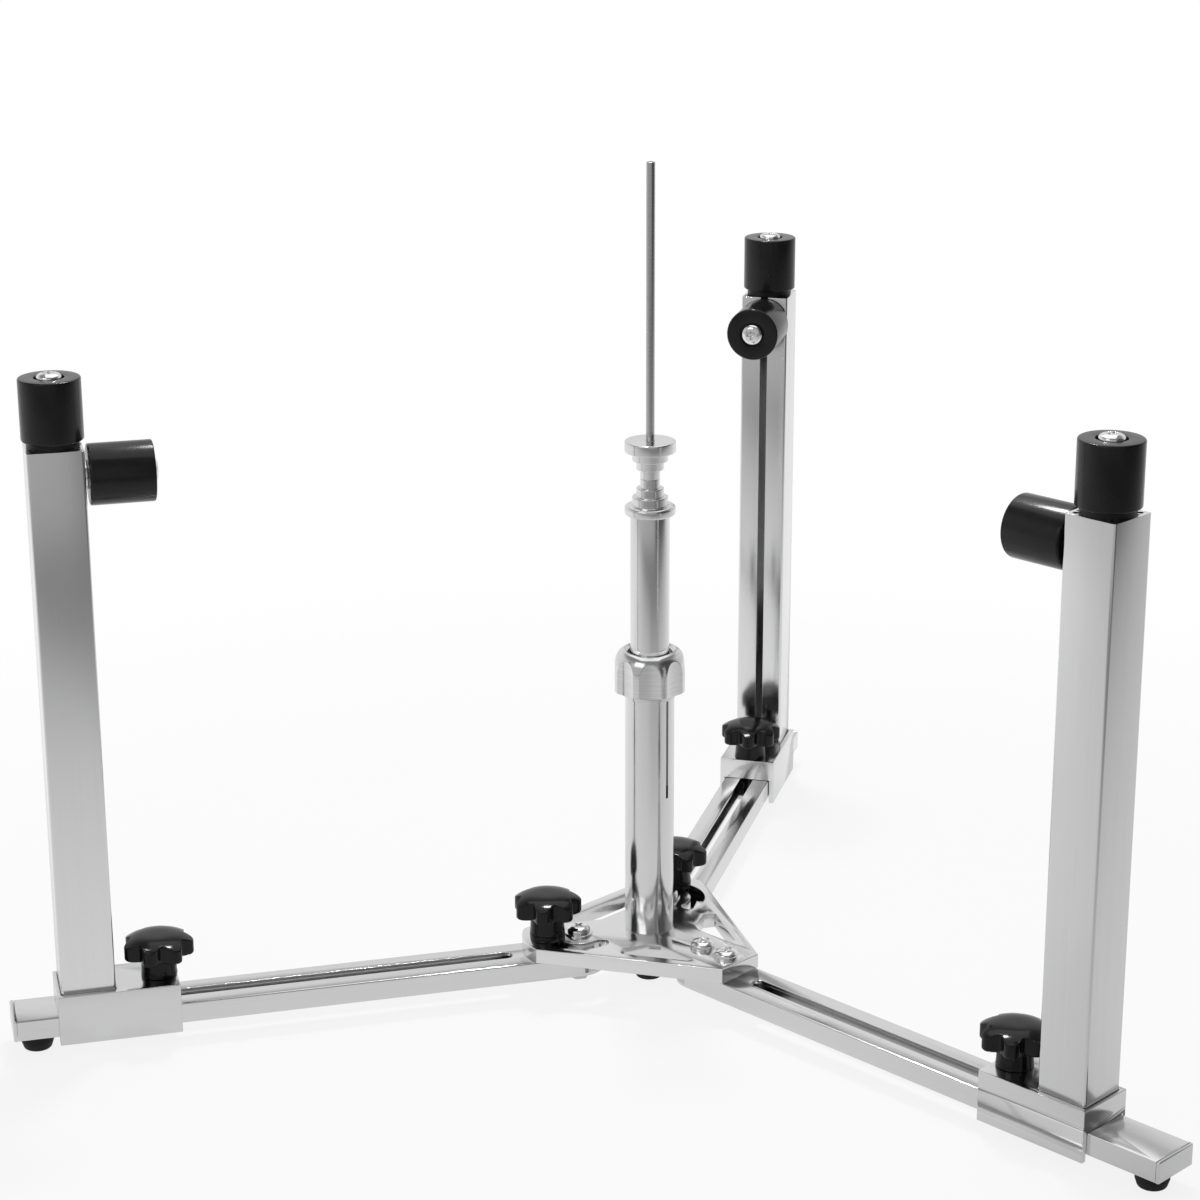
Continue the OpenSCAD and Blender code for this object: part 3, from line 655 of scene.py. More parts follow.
@dataclass
class StarKnob:
    """A black knob with lobes, a domed top, a neck and a stud. A lobe points `turn` degrees from X."""

    radius: float = 19.75
    lobes: int = 7
    head: float = 14.0
    neck_radius: float = 10.2
    neck: float = 10.0
    valley: float = 4.9
    crown: float = 4.5
    stud_radius: float = 4.0
    stud: float = 30.0
    turn: float = 0.0

    def dome(self, radius: np.ndarray) -> np.ndarray:
        """The top's height at a distance from the axis: it falls with that distance's power 3.3."""
        share = np.clip(radius / self.radius, 0, 1)
        return self.neck + self.head - self.crown * share**3.3

    def put(self, shell: Shell, place: Matrix) -> Shell:
        """Adds the knob, with its neck's foot on z = 0.

        The rim's radius at an angle is the knob's radius less the valley's depth times a power of
        the squared sine of half the lobes' angle. Rows of the grid run up the neck, out along the
        underside, round the lower rim, up the wall, round the upper rim, and in over the dome, which
        cuts the lobed wall at the dome's own height.
        """
        count = self.lobes * 32
        a = np.arange(count) * TAU / count
        wave = (np.sin(self.lobes * (a - math.radians(self.turn)) / 2) ** 2) ** 1.25
        rim = self.radius - self.valley * wave
        flat = np.ones(count)
        under, low, high, lean = self.neck + 0.7, 1.5, 1.1, math.radians(64)
        rows = [(0 * flat, 0.5 * flat), ((self.neck_radius - 1.4) * flat, 0.5 * flat)]
        foot = filleted(
            [(self.neck_radius - 1.4, 0), (self.neck_radius, 0), (self.neck_radius - 0.35, 3.2),
             (self.neck_radius - 0.45, under), (self.neck_radius + 2.2, under)],
            [0, 0.6, 6.0, 1.4, 0], 6,
        )
        rows += [(r * flat, z * flat) for r, z in foot[:-1]]
        root = self.neck_radius + 1.6
        rows += [(root + s * (rim - low - root), (under + 0.9 * s) * flat) for s in np.linspace(0, 1, 5)]
        rows += [(rim - low + low * math.sin(b), (under + 0.9 + low * (1 - math.cos(b))) * flat)
                 for b in np.linspace(0, math.pi / 2, 6)[1:]]
        edge = rim - high * (1 - math.cos(lean))
        base = self.dome(edge) - high * math.sin(lean)
        start = under + 0.9 + low
        rows += [(rim, start + s * (base - start)) for s in np.linspace(0, 1, 5)[1:]]
        rows += [(rim - high * (1 - math.cos(b)), base + high * math.sin(b))
                 for b in np.linspace(0, lean, 6)[1:]]
        rows += [(s * edge, self.dome(s * edge)) for s in np.linspace(1, 0, 30)[1:]]
        r, z = (np.stack([row[k] for row in rows]) for k in (0, 1))
        shell.grid(np.stack([r * np.cos(a), r * np.sin(a), z], -1), place)
        rod = [(0, -self.stud), (self.stud_radius - 0.6, -self.stud), (self.stud_radius, 0.6 - self.stud),
               (self.stud_radius, 1.0)]
        return shell.turned(np.array(rod), place, 48)


@dataclass
class Roller:
    """A black roller that stands on z = 0, bored for its bolt, with a recess for the bolt's head."""

    length: float
    radius: float = 16.5
    bore: float = 3.05
    recess: float = 8.0
    depth: float = 2.0

    def put(self, shell: Shell, place: Matrix) -> Shell:
        """Adds the roller: a closed turned profile with rounded rims."""
        r, h = self.radius, self.length
        profile = filleted(
            [(self.bore, 2), (self.bore, 0), (r, 0), (r, h), (self.recess, h),
             (self.recess, h - self.depth), (self.bore, h - self.depth), (self.bore, 2)],
            [0, 0.3, 1.2, 1.0, 0.4, 0.4, 0.3, 0], 6,
        )
        return shell.turned(profile, place, 112)


@dataclass
class Foot:
    """A rubber foot that stands on z = 0."""

    radius: float = 9.0
    height: float = 11.0

    def put(self, shell: Shell, place: Matrix) -> Shell:
        """Adds the foot: a turned cup with a rounded lower rim and a shallow hollow below."""
        r, h = self.radius, self.height
        profile = filleted(
            [(0, 0.5), (r - 4.4, 0.5), (r - 4.2, 0), (r - 1.5, 0.02), (r, 4.6), (r, h), (0, h)],
            [0, 0.3, 0.4, 3.0, 1.5, 0.3, 0], 8,
        )
        return shell.turned(profile, place, 72)


# ---------------------------------------------------------------- sub-assemblies


Finish = DrawnAluminium | TurnedMetal | Plated | BlackPlastic
Paints = dict[str, bpy.types.Material]

# Painted shade: the left arm and its saddle get the same aluminium in a darker tone, for the less light on
# that side.
BAR_TONE, LEFT_BAR_SHADED_TONE = 0.80, 0.74
FINISHES: tuple[Finish, ...] = (
    *(DrawnAluminium(f"bar_{arm.label}", arm.turn, tone=LEFT_BAR_SHADED_TONE if arm is Arm.LEFT else BAR_TONE)
      for arm in Arm),
    DrawnAluminium("upright", upright=True, rough=0.18, line=1100),
    DrawnAluminium("plate", 30.0, tone=0.82, rough=0.16, line=1000, stretch=0.03),
    DrawnAluminium("tube", upright=True, tone=0.76, rough=0.15, line=1400),
    TurnedMetal("turned", 0.76, 0.17),
    TurnedMetal("zinc_steel", 0.6, 0.34, 700, slot="steel"),
    TurnedMetal("rod_steel", 0.52, 0.26, 900, slot="steel"),
    Plated("plated"),
    BlackPlastic("knob_plastic", 0.006, 0.13, 2400, 0.000001, 0.02, 1.33),
    # Black plug plastic, also used as painted shade on the walls of the uprights' screw ports.
    BlackPlastic("plug_plastic_and_port_shade", 0.009, 0.38, index=1.35),
    BlackPlastic("roller_plastic", 0.009, 0.2, 1800, 0.000004, 0.04, 1.38, "roller_rubber"),
    BlackPlastic("rubber", 0.009, 0.6, 1500, 0.00002, 0.08, 1.35, "black_rubber"),
)


def show(
    shell: Shell, name: str, paint: bpy.types.Material, body: str, node: str, smooth: float = 32.0
) -> bpy.types.Object:
    """Makes a piece, dresses it and lets it stand for its CAD node.

    Args:
        shell: The new piece's surfaces.
        name: Its name.
        paint: Its finish.
        body: The CAD body it rides on.
        node: The CAD node that it replaces.
        smooth: Edges sharper than this many degrees stay sharp.

    Returns:
        The piece.
    """
    piece = shell.piece(name, smooth)
    piece.data.materials.append(paint)
    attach(piece, body)
    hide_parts(node)
    LOG.info("%s rides on %s: %d faces", piece.name, body, len(piece.data.polygons))
    return piece


@dataclass
class Bar:
    """One arm: its hollow bar, end cap and foot."""

    arm: Arm
    paints: Paints
    reach: float = 367.0
    width: float = 29.5
    low: float = 11.0
    high: float = 23.0
    wall: float = 2.0
    pivot: float = 42.5
    knob_at: float = 61.1
    slot: tuple[float, float, float] = (82.0, 310.5, 8.5)
    cap: float = 2.0
    edge: float = 0.8
    foot_in: float = 13.5

    @property
    def body(self) -> str:
        """The CAD body that the arm belongs to."""
        return "hub" if self.arm is Arm.RIGHT else f"arm_{self.arm.label}"

    def build(self) -> None:
        """Makes and dresses the bar, its cap and its foot."""
        label = self.arm.label
        paint = self.paints[f"bar_{label}"]
        show(self._bar(), f"bar_{label}", paint, self.body, f"arm_{label}")
        show(self._cap(), f"end_cap_{label}", paint, self.body, f"arm_cap_{label}")
        foot = Foot().put(Shell(), self.arm.place(self.reach - self.foot_in))
        show(foot, f"foot_{label}", self.paints["rubber"], self.body, f"arm_foot_{label}")

    def _bar(self) -> Shell:
        """The bar: top and bottom walls and two side walls, with the long slot and the round inner end."""
        half, end = self.width / 2, self.reach - self.cap - 0.15
        a = np.linspace(math.pi / 2, 3 * math.pi / 2, 40)
        nose = (self.pivot, 0) + polar(half, a)
        outline = np.concatenate([nose, [[end, -half], [end, half]]])
        holes = [slot_outline(*self.slot), circle(3.05, 32, (self.pivot, 0)),
                 circle(4.05 if self.arm is not Arm.RIGHT else 3.05, 32, (self.knob_at, 0))]
        shell, place, t = Shell(), self.arm.place(), self.wall
        shell.prism(outline, holes, self.high - t, self.high, (0, self.edge), place, (0.1, 0.15))
        shell.prism(outline, holes, self.low, self.low + t, (self.edge, 0), place, (0.3, 0.1))
        for side in (-1, 1):
            y = sorted((side * (half - t), side * half))
            wall = np.array([[self.pivot, y[0]], [end, y[0]], [end, y[1]], [self.pivot, y[1]]])
            shell.prism(wall, [], self.low + t, self.high - t, 0.0, place)
        return shell

    def _cap(self) -> Shell:
        """The end cap: a thin plate with rounded rims."""
        half, x0, x1 = self.width / 2, self.reach - self.cap, self.reach
        outline = loop([(x0, -half), (x1, -half), (x1, half), (x0, half)], [0.1, 0.8, 0.8, 0.1], 4)
        return Shell().prism(outline, [], self.low, self.high, 0.6, self.arm.place())


@dataclass
class Station:
    """One saddle with its upright, knob and rollers."""

    arm: Arm
    paints: Paints
    width: float = 36.4
    inner: float = 50.2
    outer: float = 17.15
    block_low: float = 23.22
    block_top: float = 36.22
    skirt_low: float = 7.3
    skirt_in: float = 14.97
    socket: float = 28.22
    upright_w: float = 30.0
    upright_wall: float = 2.0
    upright_top: float = 343.0
    face_slot: float = 4.6
    rim_low: float = 346.5
    rim_length: float = 33.5
    side_z: float = 326.3
    side_start: float = 17.1
    side_length: float = 34.6
    knob_x: float = 40.5
    port: float = 1.6
    port_in: float = 2.1
    bolt_sunk: float = 1.7

    @property
    def place(self) -> Matrix:
        """The upright's place on its arm."""
        return self.arm.place(self.arm.upright_at)

    def build(self) -> None:
        """Makes and dresses every piece of the station."""
        label, paints, body = self.arm.label, self.paints, f"saddle_{self.arm.label}"
        show(self._saddle(), f"saddle_block_{label}", paints[f"bar_{label}"], body, f"saddle_{label}")
        upright = show(self._upright(), f"square_upright_{label}", paints["upright"], body,
                       f"upright_{label}")
        # Painted shade: the screw ports' walls are given black plastic.
        self._darken_ports(upright)
        show(self._clamp(), f"under_plate_{label}", paints["zinc_steel"], body, f"clamp_plate_{label}")
        self._rollers()
        at = self.place @ Matrix.Translation((-self.knob_x, 0, self.block_top))
        knob = StarKnob(stud=29.6, turn=KNOB_TURN[self.arm]).put(Shell(), at)
        show(knob, f"clamp_knob_{label}", paints["knob_plastic"], f"saddle_knob_{label}",
             f"saddle_knob_{label}")

    def _saddle(self) -> Shell:
        """The saddle: a block with a socket for the upright and two side skirts."""
        half = self.width / 2
        place = self.place
        outline = loop([(-self.inner, -half), (self.outer, -half), (self.outer, half), (-self.inner, half)],
                       0.5, 3)
        pocket = self.upright_w / 2 + 0.2
        socket = loop([(-pocket, -pocket), (pocket, -pocket), (pocket, pocket), (-pocket, pocket)], 0.4, 3)
        bore = circle(4.05, 32, (-self.knob_x, 0))
        shell = Shell()
        shell.prism(outline, [socket, bore], self.socket, self.block_top, (0, 0.45), place, (0, 0.2))
        shell.prism(outline, [bore], self.block_low, self.socket, 0.0, place)
        for side in (-1, 1):
            y = sorted((side * self.skirt_in, side * half))
            wall = loop([(-self.inner, y[0]), (self.outer, y[0]), (self.outer, y[1]), (-self.inner, y[1])],
                        0.5, 3)
            shell.prism(wall, [], self.skirt_low, self.block_low, (0.3, 0), place)
        return shell

    def _upright(self) -> Shell:
        """The upright: a square tube section with corner blocks, ports and a slot in its inner face."""
        w, t, s = self.upright_w / 2, self.upright_wall, self.face_slot / 2
        h, c = w - t, w - t - 5.2
        corners = [
            (-w, -s), (-w, -w), (w, -w), (w, w), (-w, w), (-w, s), (-h, s), (-h, c), (-c, c), (-c, h),
            (c, h), (c, c), (h, c), (h, -c), (c, -c), (c, -h), (-c, -h), (-c, -c), (-h, -c), (-h, -s),
        ]
        radii = [0.2, 1.5, 1.5, 1.5, 1.5, 0.2] + [0.2] * 14
        outline = loop(corners, radii, 5)
        at = h - self.port_in
        ports = [circle(self.port, 24, (x * at, y * at)) for x in (-1, 1) for y in (-1, 1)]
        return Shell().prism(outline, ports, self.socket, self.upright_top, 0.12, self.place)

    def _darken_ports(self, upright: bpy.types.Object) -> None:
        """Paints shade on the walls of the four screw ports, which take the black plug plastic, because
        light hardly reaches into them.
        """
        upright.data.materials.append(self.paints["plug_plastic_and_port_shade"])
        mesh, at = upright.data, self.upright_w / 2 - self.upright_wall - self.port_in
        middle = np.empty(len(mesh.polygons) * 3)
        mesh.polygons.foreach_get("center", middle)
        back = np.array(self.place.inverted())
        near = np.abs((middle.reshape(-1, 3) / MM) @ back[:3, :3].T + back[:3, 3])[:, :2]
        inside = np.hypot(*(near - at).T) < self.port + 0.02
        mesh.polygons.foreach_set("material_index", inside.astype(np.int32))

    def _clamp(self) -> Shell:
        """The clamp plate below the arm. Its inner end stops at the saddle's, short of the CAD plate's."""
        outline = loop([(-49.9, -11), (-26.5, -11), (-26.5, 11), (-49.9, 11)], 1.0, 4)
        bore = circle(4.05, 32, (-self.knob_x, 0))
        return Shell().prism(outline, [bore], 7.7, 10.7, 0.3, self.place)

    def _rollers(self) -> None:
        """The two rollers and their bolts."""
        label, paints = self.arm.label, self.paints
        raised = lambda z: self.place @ Matrix.Translation((0, 0, z))
        rim = Roller(self.rim_length).put(Shell(), raised(self.rim_low))
        show(rim, f"upright_roller_{label}", paints["roller_plastic"], f"rim_roller_{label}",
             f"rim_roller_{label}")
        head = raised(self.rim_low + self.rim_length - self.bolt_sunk)
        bolt = PanHead(shank=41.5, cross_reach=3.4).put(Shell(), head)
        show(bolt, f"upright_roller_bolt_{label}", paints["plated"], f"saddle_{label}",
             f"rim_bolt_{label}")
        turned = raised(self.side_z) @ POINT_IN
        side = Roller(self.side_length).put(Shell(), turned @ Matrix.Translation((0, 0, self.side_start)))
        show(side, f"level_roller_{label}", paints["roller_plastic"], f"side_roller_{label}",
             f"side_roller_{label}")
        end = self.side_start + self.side_length
        head = turned @ Matrix.Translation((0, 0, end - self.bolt_sunk))
        mount = PanHead(shank=33.0, cross_reach=3.4).put(Shell(), head)
        spacer = filleted([(2.1, 15), (8, 15), (8, 16.8), (2.1, 16.8)], [0, 0.3, 0.3, 0], 4)
        mount.turned(spacer, turned, 64)
        mount.turned(np.array([(0, 9.0), (2.1, 9.0), (2.1, 17.0)]), turned, 32)
        nut = loop([(-7, -7.4), (7, -7.4), (7, 7.4), (-7, 7.4)], 0.8, 3)
        mount.prism(nut, [], 9.0, 13.0, 0.3, turned)
        show(mount, f"level_roller_bolt_{label}", paints["plated"], f"side_mount_{label}",
             f"side_mount_{label}")


@dataclass
class Hub:
    """The hub plate with its screws, washers, knobs and centre foot."""

    paints: Paints
    low: float = 23.0
    high: float = 31.7
    flat: float = 49.0
    end: float = 72.0
    lobe: float = 32.8
    pivot: float = 42.5
    reach: float = 18.6
    slot_width: float = 8.5
    washer: float = 1.2

    def build(self) -> None:
        """Makes and dresses the hub's pieces."""
        paints, top = self.paints, self.high
        show(self._plate(), "hub_top_plate", paints["plate"], "hub", "hub_plate")
        screws, washers = Shell(), Shell()
        knob_at = self.pivot + self.reach
        for place, lift in (
            (Arm.RIGHT.place(self.pivot), 0.0), (Arm.RIGHT.place(knob_at), 0.0),
            (Arm.LEFT.place(self.pivot), self.washer), (Arm.BACK.place(self.pivot), self.washer),
        ):
            turned = place @ Matrix.Rotation(0.6, 4, "Z") @ Matrix.Translation((0, 0, top + lift))
            PanHead(shank=top + lift - 4.2).put(screws, turned)
        show(screws, "hub_pan_screws", paints["plated"], "hub", "hub_screws")
        ring = filleted([(3, top), (8, top), (8, top + self.washer), (3, top + self.washer)],
                        [0, 0.2, 0.5, 0], 4)
        base = filleted([(4, top), (10.2, top), (10.2, top + 3.5), (4, top + 3.5)], [0, 0.5, 0.4, 0], 4)
        for arm in (Arm.LEFT, Arm.BACK):
            washers.turned(ring, arm.place(self.pivot), 72)
        show(washers, "pivot_rings", paints["plated"], "hub", "pivot_washers")
        for arm in (Arm.LEFT, Arm.BACK):
            place, body = arm.place(knob_at), f"hub_knob_{arm.label}"
            raised = place @ Matrix.Translation((0, 0, top + 3.5))
            knob = StarKnob(stud=22.0, turn=15.9).put(Shell(), raised)
            knob.turned(base, place, 72)
            show(knob, f"lock_knob_{arm.label}", paints["knob_plastic"], body, body)
        foot = Foot().put(Shell(), Matrix.Identity(4))
        show(foot, "middle_foot", paints["rubber"], "hub", "centre_foot")

    def _plate(self) -> Shell:
        """The plate: a triangle, square at the fixed arm and round at the folding arms, with its holes."""
        outline = self._outline()
        holes = [self._window(180, True), self._window(60, False), self._window(-60, False)]
        for arm, sign in ((Arm.BACK, -1), (Arm.LEFT, 1)):
            holes.append(self._arc_slot(arm.turn, sign))
            holes.append(circle(3.05, 32, self._spot(arm.turn, self.pivot, 0)))
        holes += [circle(3.05, 32, (x, 0)) for x in (self.pivot, self.pivot + self.reach)]
        return Shell().prism(outline, holes, self.low, self.high, 0.5, None, 0.25)

    @staticmethod
    def _spot(turn: float, along: float, beside: float) -> np.ndarray:
        """The point `along` a direction and `beside` it."""
        a = math.radians(turn)
        ahead, across = np.array([math.cos(a), math.sin(a)]), np.array([-math.sin(a), math.cos(a)])
        return along * ahead + beside * across

    def _outline(self) -> np.ndarray:
        """The outer edge, counter-clockwise: three flats, one square end and two round ends.

        A round end is an arc about the pivot, between the places where it meets its two flats: from
        the arm's direction they lie at 60 degrees less the angle whose cosine is the flat's distance
        from the pivot over the arc's radius.
        """
        side = (self.end - self.flat * 0.5) / math.sin(math.radians(60))
        near = self.flat - self.pivot * 0.5
        span = math.radians(60) - math.acos(near / self.lobe)
        parts = [[self._spot(60, self.flat, -side)]]
        for turn in (120.0, 240.0):
            a = math.radians(turn) + np.linspace(-span, span, 25)
            parts.append(self._spot(turn, self.pivot, 0) + polar(self.lobe, a))
        parts.append([self._spot(-60, self.flat, side)])
        return np.concatenate(parts)

    def _window(self, turn: float, wide: bool) -> np.ndarray:
        """A window between two arms, its corners rounded."""
        inner, outer, cut = 26.0, 42.0, 3.1
        half = lambda along: along * math.tan(math.radians(60)) - 15.7 / 0.5
        at = outer - cut
        if wide:
            pts = [(inner, -half(inner)), (at, -half(at)), (outer, cut - half(at)), (outer, half(at) - cut),
                   (at, half(at)), (inner, half(inner))]
        else:
            pts = [(inner, -half(inner)), (at, -half(at)), (outer, cut - half(at)), (outer, 6.2),
                   (inner + 9, 6.2), (inner, -6.2)]
        if turn < 0:
            pts = [(x, -y) for x, y in reversed(pts)]
        return np.array([self._spot(turn, x, y) for x, y in loop(pts, 1.2, 4)])

    def _arc_slot(self, turn: float, sign: int) -> np.ndarray:
        """A curved slot about a pivot: its outer side, a round end, its inner side and a round end."""
        half, r = self.slot_width / 2, self.reach
        sweep = math.radians(122)
        start = math.radians(turn) - sign * math.radians(1)
        lo, hi = sorted((start, start + sign * sweep))
        a, cap = np.linspace(lo, hi, 40), np.linspace(0, math.pi, 14)[1:-1]
        end = polar(r, hi) + polar(half, hi + cap)
        begin = polar(r, lo) + polar(half, lo + math.pi + cap)
        edge = [polar(r + half, a), end, polar(r - half, a[::-1]), begin]
        return self._spot(turn, self.pivot, 0) + np.concatenate(edge)


@dataclass
class Post:
    """The telescoping post with its nut, cones and rod."""

    paints: Paints
    base: float = 31.7
    top: float = 192.0
    radius: float = 14.0
    bore: float = 11.08
    slit: float = 1.7
    slit_low: float = 115.0
    upper_radius: float = 11.0
    upper_low: float = 121.0
    flange: float = 281.0
    nut_low: float = 174.0
    nut_radius: float = 20.8
    scallops: int = 8
    rod_top: float = 477.7

    def build(self) -> None:
        """Makes and dresses the post's pieces."""
        paints = self.paints
        show(self._tube(), "lower_post_tube", paints["tube"], "hub", "post_tube")
        show(self._nut(), "collet_clamp_nut", paints["turned"], "collet_nut", "collet_nut", 24.0)
        inside = self.upper_radius - 1.5
        upper = filleted([(inside, 200), (inside, self.upper_low), (self.upper_radius, self.upper_low),
                          (self.upper_radius, self.flange), (inside, self.flange), (inside, 200)],
                         [0, 0.2, 0.3, 0.1, 0.1, 0], 3)
        show(Shell().turned(upper, None, 112), "upper_post_tube", paints["tube"], "post_upper",
             "upper_tube")
        self._cones()
        r, tip = 2.4, self.rod_top
        rod = filleted([(0, 273), (r, 273), (r, tip), (1.3, tip), (1.3, tip - 1.5), (0, tip - 1.5)],
                       [0, 0.2, 0.35, 0.1, 0.1, 0], 4)
        show(Shell().turned(rod, None, 48), "wheel_rod", paints["rod_steel"], "post_upper", "axle_rod")

    def _tube(self) -> Shell:
        """The lower tube: a ring below its two slits, and two half rings between them above."""
        low = filleted([(self.bore, self.slit_low), (self.bore, self.base), (self.radius, self.base),
                        (self.radius, self.slit_low)], [0, 0, 0.3, 0], 3)
        shell = Shell().turned(low, None, 144)
        half = self.slit / 2
        for side in (0.0, math.pi):
            out, inn = math.asin(half / self.radius), math.asin(half / self.bore)
            a = side + np.linspace(out, math.pi - out, 70)
            b = side + np.linspace(math.pi - inn, inn, 70)
            outline = np.concatenate([polar(self.radius, a), polar(self.bore, b)])
            shell.prism(outline, [], self.slit_low, self.top, 0.0)
        return shell

    def _nut(self) -> Shell:
        """The nut: a turned profile, its radius drawn in by the scallops.

        The shoulder is a quarter of an ellipse. Where the turned radius passes the scallops' own, the
        lesser of the two is kept. A scallop is a circle beside the nut, so its radius at an angle is
        its distance times the angle's cosine, less the root of its own radius squared less the sine's
        share squared.
        """
        z, rim, dome = self.nut_low, 14.3, self.nut_low + 15.5
        b = np.linspace(0, math.pi / 2, 22)
        foot = [(14.05, z + 8), (14.05, z), (14.8, z), (14.8, z + 2.5), (14.35, z + 3.1), (20.8, z + 4.3),
                (20.8, dome)]
        foot = filleted(foot, [0, 0, 0.7, 1.2, 0.2, 0.5, 0], 7)
        shoulder = np.stack([rim + (20.8 - rim) * np.cos(b), dome + 12.5 * np.sin(b)], -1)
        mouth = [(rim + 1, z + 28), (rim, z + 28), (12.6, z + 26.4), (12.6, z + 22), (11.12, z + 22),
                 (11.12, z + 18.7)]
        mouth = filleted(mouth, [0, 0.7, 0.3, 0, 0.2, 0], 5)
        r0, z0 = dense(np.concatenate([foot[:-1], shoulder[:-2], mouth[1:]]), 0.3)
        columns = 384
        a = np.arange(columns) * TAU / columns
        step = TAU / self.scallops
        off = (a + step / 2) % step - step / 2
        own, deep = 19.0, 2.0
        far = self.nut_radius + own - deep
        inside = own**2 - (far * np.sin(off)) ** 2
        cut = np.where(inside > 0, far * np.cos(off) - np.sqrt(np.clip(inside, 0, None)), 99.0)
        r = np.minimum(r0[:, None], cut[None])
        return Shell().grid(np.stack([r * np.cos(a), r * np.sin(a), z0[:, None] + 0 * a], -1))

    def _cones(self) -> None:
        """The two stepped cones."""
        paint, z = self.paints["turned"], self.flange
        lower = [(0, z - 10), (9.5, z - 10), (9.5, z), (14.25, z), (14.25, z + 5.5), (10, z + 5.5),
                 (10, z + 10.7), (7.7, z + 10.7), (7.7, z + 15.6), (5.5, z + 15.6), (5.5, z + 20.8),
                 (2.4, z + 20.8)]
        radii = [0, 0.3, 0, 1.6, 1.6, 0.3, 0.7, 0.3, 0.6, 0.3, 0.3, 0]
        show(Shell().turned(filleted(lower, radii, 5), None, 112), "lower_hub_cone", paint, "post_upper",
             "lower_cone")
        m = z + 20.8
        upper = [(2.45, m + 10), (2.45, m), (5.5, m), (5.5, m + 5.2), (7.7, m + 5.2), (7.7, m + 10.1),
                 (10, m + 10.1), (10, m + 15.3), (14.25, m + 15.3), (14.25, m + 21.6), (2.45, m + 21.6),
                 (2.45, m + 10)]
        radii = [0, 0, 0.3, 0.3, 0.6, 0.3, 0.7, 0.3, 0.7, 0.7, 0.5, 0]
        show(Shell().turned(filleted(upper, radii, 5), None, 112), "upper_hub_cone", paint, "upper_cone",
             "upper_cone")


# ---------------------------------------------------------------- studio

# Level directions away from the camera and to its left.
BEHIND, LEFTWARD = (-0.707, 0.707, 0), (-0.707, -0.707, 0)


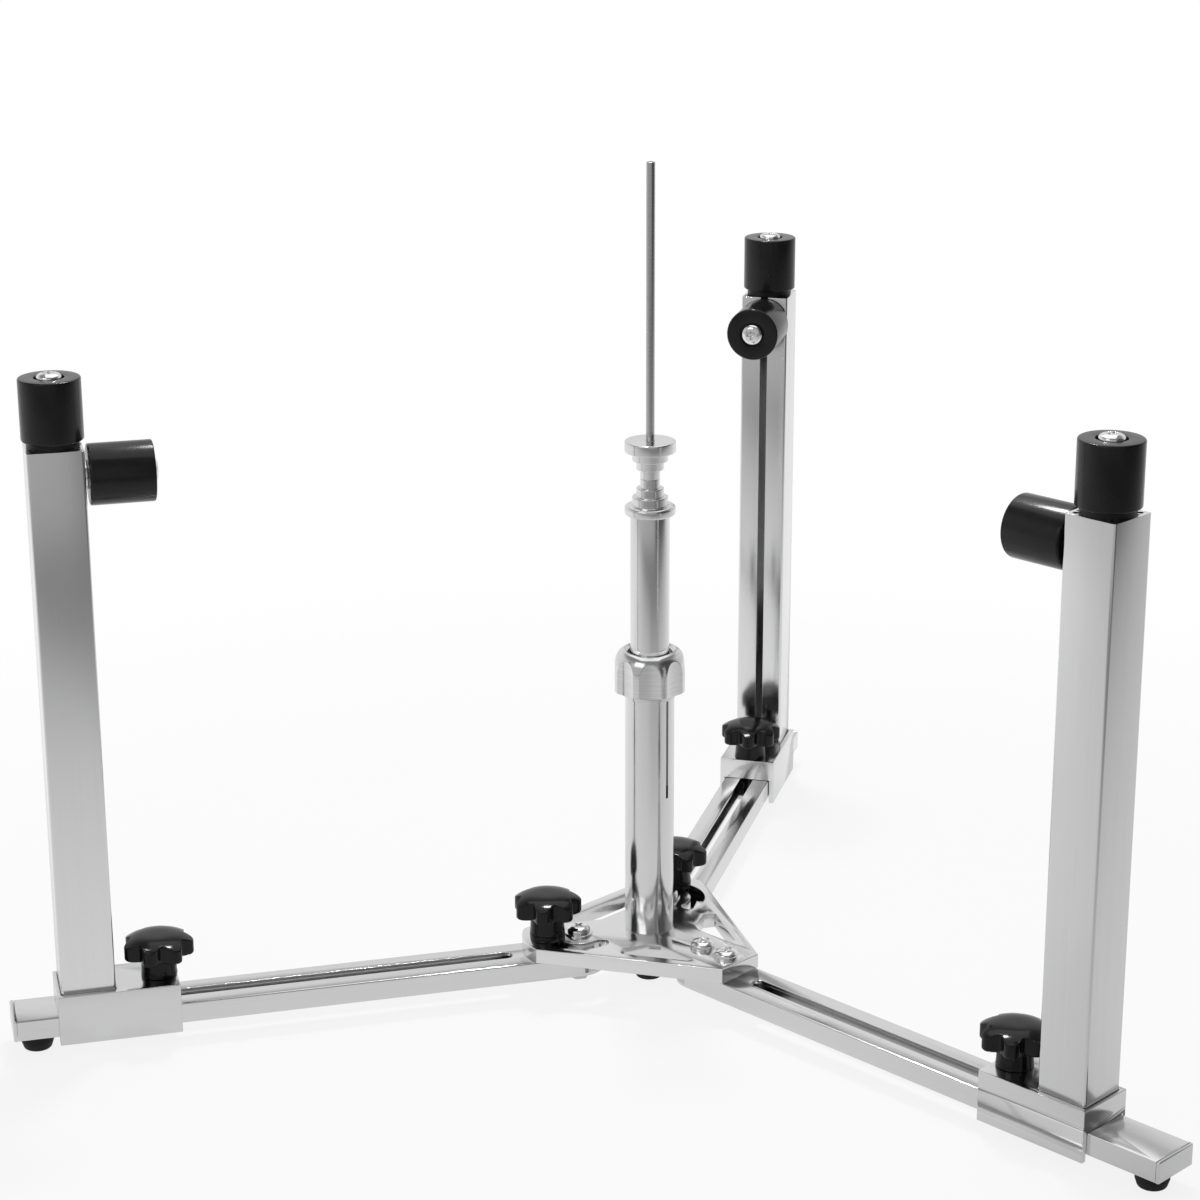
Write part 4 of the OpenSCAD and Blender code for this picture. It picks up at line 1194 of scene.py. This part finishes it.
@dataclass
class Studio:
    """The floor, the light and the camera."""

    lens: float = 87.0
    camera_at: tuple[float, float, float] = (1.0825, -1.1164, 0.7253)
    heading: float = 135.15
    pitch: float = -17.64
    roll: float = -0.19
    # The floor's glow for glossy rays holds painted light and shade: a middle level, more behind and to the
    # left, and less in a painted shadow to the front right.
    floor_mid: float = 0.78
    floor_back: float = 0.4
    floor_left: float = 0.15
    floor_side: float = 0.1
    floor_share: float = 0.82
    sky_front: float = 0.45
    sky_back: float = 0.35
    sky_top: float = 0.25
    sky_dark: float = 0.8
    sheet_power: float = 8.0
    top_power: float = 8.5
    front_power: float = 4.0

    def build(self) -> None:
        """Sets the stage."""
        scene = bpy.context.scene
        scene.view_settings.view_transform = "Standard"
        self._floor()
        self._world()
        self._lamps()
        self._camera()

    def _floor(self) -> None:
        """A pale round floor, white to the camera, and to what mirrors it a glow with painted light and
        shade.
        """
        a = np.arange(96) * TAU / 96
        r = np.array([0.0, 0.5, 1.2, 3.0])[:, None]
        grid = np.stack([r * np.cos(a), r * np.sin(a), 0 * r * a], -1)
        floor = Shell().add(grid / MM, ring_faces(4, 96)[:, ::-1]).piece("floor")
        paint = Paint("floor")
        seen = paint.node("ShaderNodeLightPath", out="Is Camera Ray")
        mirrored = paint.node("ShaderNodeLightPath", out="Is Glossy Ray")
        point = paint.spot()
        behind, left = paint.dot(point, BEHIND), paint.dot(point, LEFTWARD)
        away = paint.node("ShaderNodeVectorMath", {"operation": "LENGTH"}, [point], "Value")
        toward = paint.node("ShaderNodeVectorMath", {"operation": "NORMALIZE"}, [point])
        side = paint.dot(toward, (0.95, -0.31, 0))
        # Painted light and shade for glossy rays: lighter behind and to the left, and a painted shadow in a
        # sector to the front right.
        shade = behind * self.floor_back + left * self.floor_left + self.floor_mid
        shade = shade - side.step(0.8, 0.98) * away.step(0.1, 0.45) * self.floor_side
        shade = paint.node("ShaderNodeClamp", None, [shade, 0.2, 1.0])
        glow = paint.node("ShaderNodeEmission", None,
                          {"Color": (1, 1, 1, 1), "Strength": seen + mirrored * shade})
        cloud = paint.noise(point, 7.0, 3)
        paint.finish(Base_Color=paint.grey(cloud, (0.83, 0.83, 0.835), (0.86, 0.86, 0.862)), Roughness=0.7)
        share = seen * (away.step(0.35, 0.9) * 0.16 + 0.84) + mirrored * self.floor_share
        paint.show(paint.node("ShaderNodeMixShader", None, [share, paint.principled, glow]))
        floor.data.materials.append(paint.material)

    def _world(self) -> None:
        """White to the camera. To all else a room: bright low down and behind, dim overhead."""
        world = bpy.data.worlds.new("room")
        bpy.context.scene.world = world
        sky = Nodes(world, "ShaderNodeOutputWorld")
        way = sky.node("ShaderNodeTexCoord", out="Generated")
        behind, left, up = (sky.dot(way, axis) for axis in (BEHIND, LEFTWARD, (0, 0, 1)))
        low = behind.step(-0.5, 0.9) * self.sky_back + left * 0.08 + self.sky_front
        high = up.step(0.42, 0.72)
        dark = sky.dot(way, (0.923, 0.336, 0.19)).step(0.7, 0.9)
        strength = (low * (1 - high) + high * self.sky_top) * (1 - dark * self.sky_dark)
        room = sky.node("ShaderNodeBackground", None, [(1, 1, 1, 1), strength])
        white = sky.node("ShaderNodeBackground", None, [(1, 1, 1, 1), 1.0])
        seen = sky.node("ShaderNodeLightPath", out="Is Camera Ray")
        sky.show(sky.node("ShaderNodeMixShader", None, [seen, room, white]))

    def _lamps(self) -> None:
        """A broad soft sheet overhead, a smaller bright lamp above and behind, and a weak one in front."""
        for name, at, size, power in (
            ("sheet", (-0.23, 0.23, 1.62), (1.4, 2.0), self.sheet_power),
            ("top", (-0.4, 0.32, 1.5), (0.24, 0.16), self.top_power),
            ("front", (0.2, -1.9, 1.5), (1.2, 0.8), self.front_power),
        ):
            data = bpy.data.lights.new(name, "AREA")
            data.shape = "RECTANGLE"
            data.size, data.size_y = size
            data.energy = power
            lamp = bpy.data.objects.new(name, data)
            lamp.location = at
            lamp.rotation_mode = "QUATERNION"
            lamp.rotation_quaternion = (Vector((0, 0, 0.15)) - Vector(at)).to_track_quat("-Z", "Y")
            bpy.context.scene.collection.objects.link(lamp)

    def _camera(self) -> None:
        """The photograph's camera, from its heading, pitch and roll."""
        data = bpy.data.cameras.new("camera")
        data.lens = self.lens
        data.sensor_width = 36.0
        data.clip_start, data.clip_end = 0.05, 20
        made = bpy.data.objects.new("camera", data)
        a, p, q = (math.radians(v) for v in (self.heading, self.pitch, self.roll))
        ahead = Vector((math.cos(a) * math.cos(p), math.sin(a) * math.cos(p), math.sin(p)))
        right = ahead.cross(Vector((0, 0, 1))).normalized()
        up = right.cross(ahead)
        r2 = right * math.cos(q) + up * math.sin(q)
        u2 = -right * math.sin(q) + up * math.cos(q)
        axes = Matrix((r2, u2, -ahead)).transposed()
        made.matrix_world = Matrix.Translation(self.camera_at) @ axes.to_4x4()
        bpy.context.scene.collection.objects.link(made)
        bpy.context.scene.camera = made


def dress_frame(paints: Paints) -> None:
    """Gives the CAD nodes that still show their finishes."""
    steel = ("arm_bushes", "arm_fittings", "hub_nuts", "centre_screw", "clamp_plate", "upright_screws",
             "post_plug")
    for name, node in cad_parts.items():
        kind = "zinc_steel" if name.startswith(steel) else "turned"
        node.data.materials.clear()
        node.data.materials.append(paints["plug_plastic_and_port_shade" if name.startswith("top_plug") else kind])


def main() -> None:
    """Builds the stand's looks and the studio."""
    logging.basicConfig(level=logging.INFO, format="%(message)s")
    paints = {finish.name: finish.make() for finish in FINISHES}
    dress_frame(paints)
    for arm in Arm:
        Bar(arm, paints).build()
        Station(arm, paints).build()
    Hub(paints).build()
    Post(paints).build()
    Studio().build()


if __name__ == "__main__":
    main()
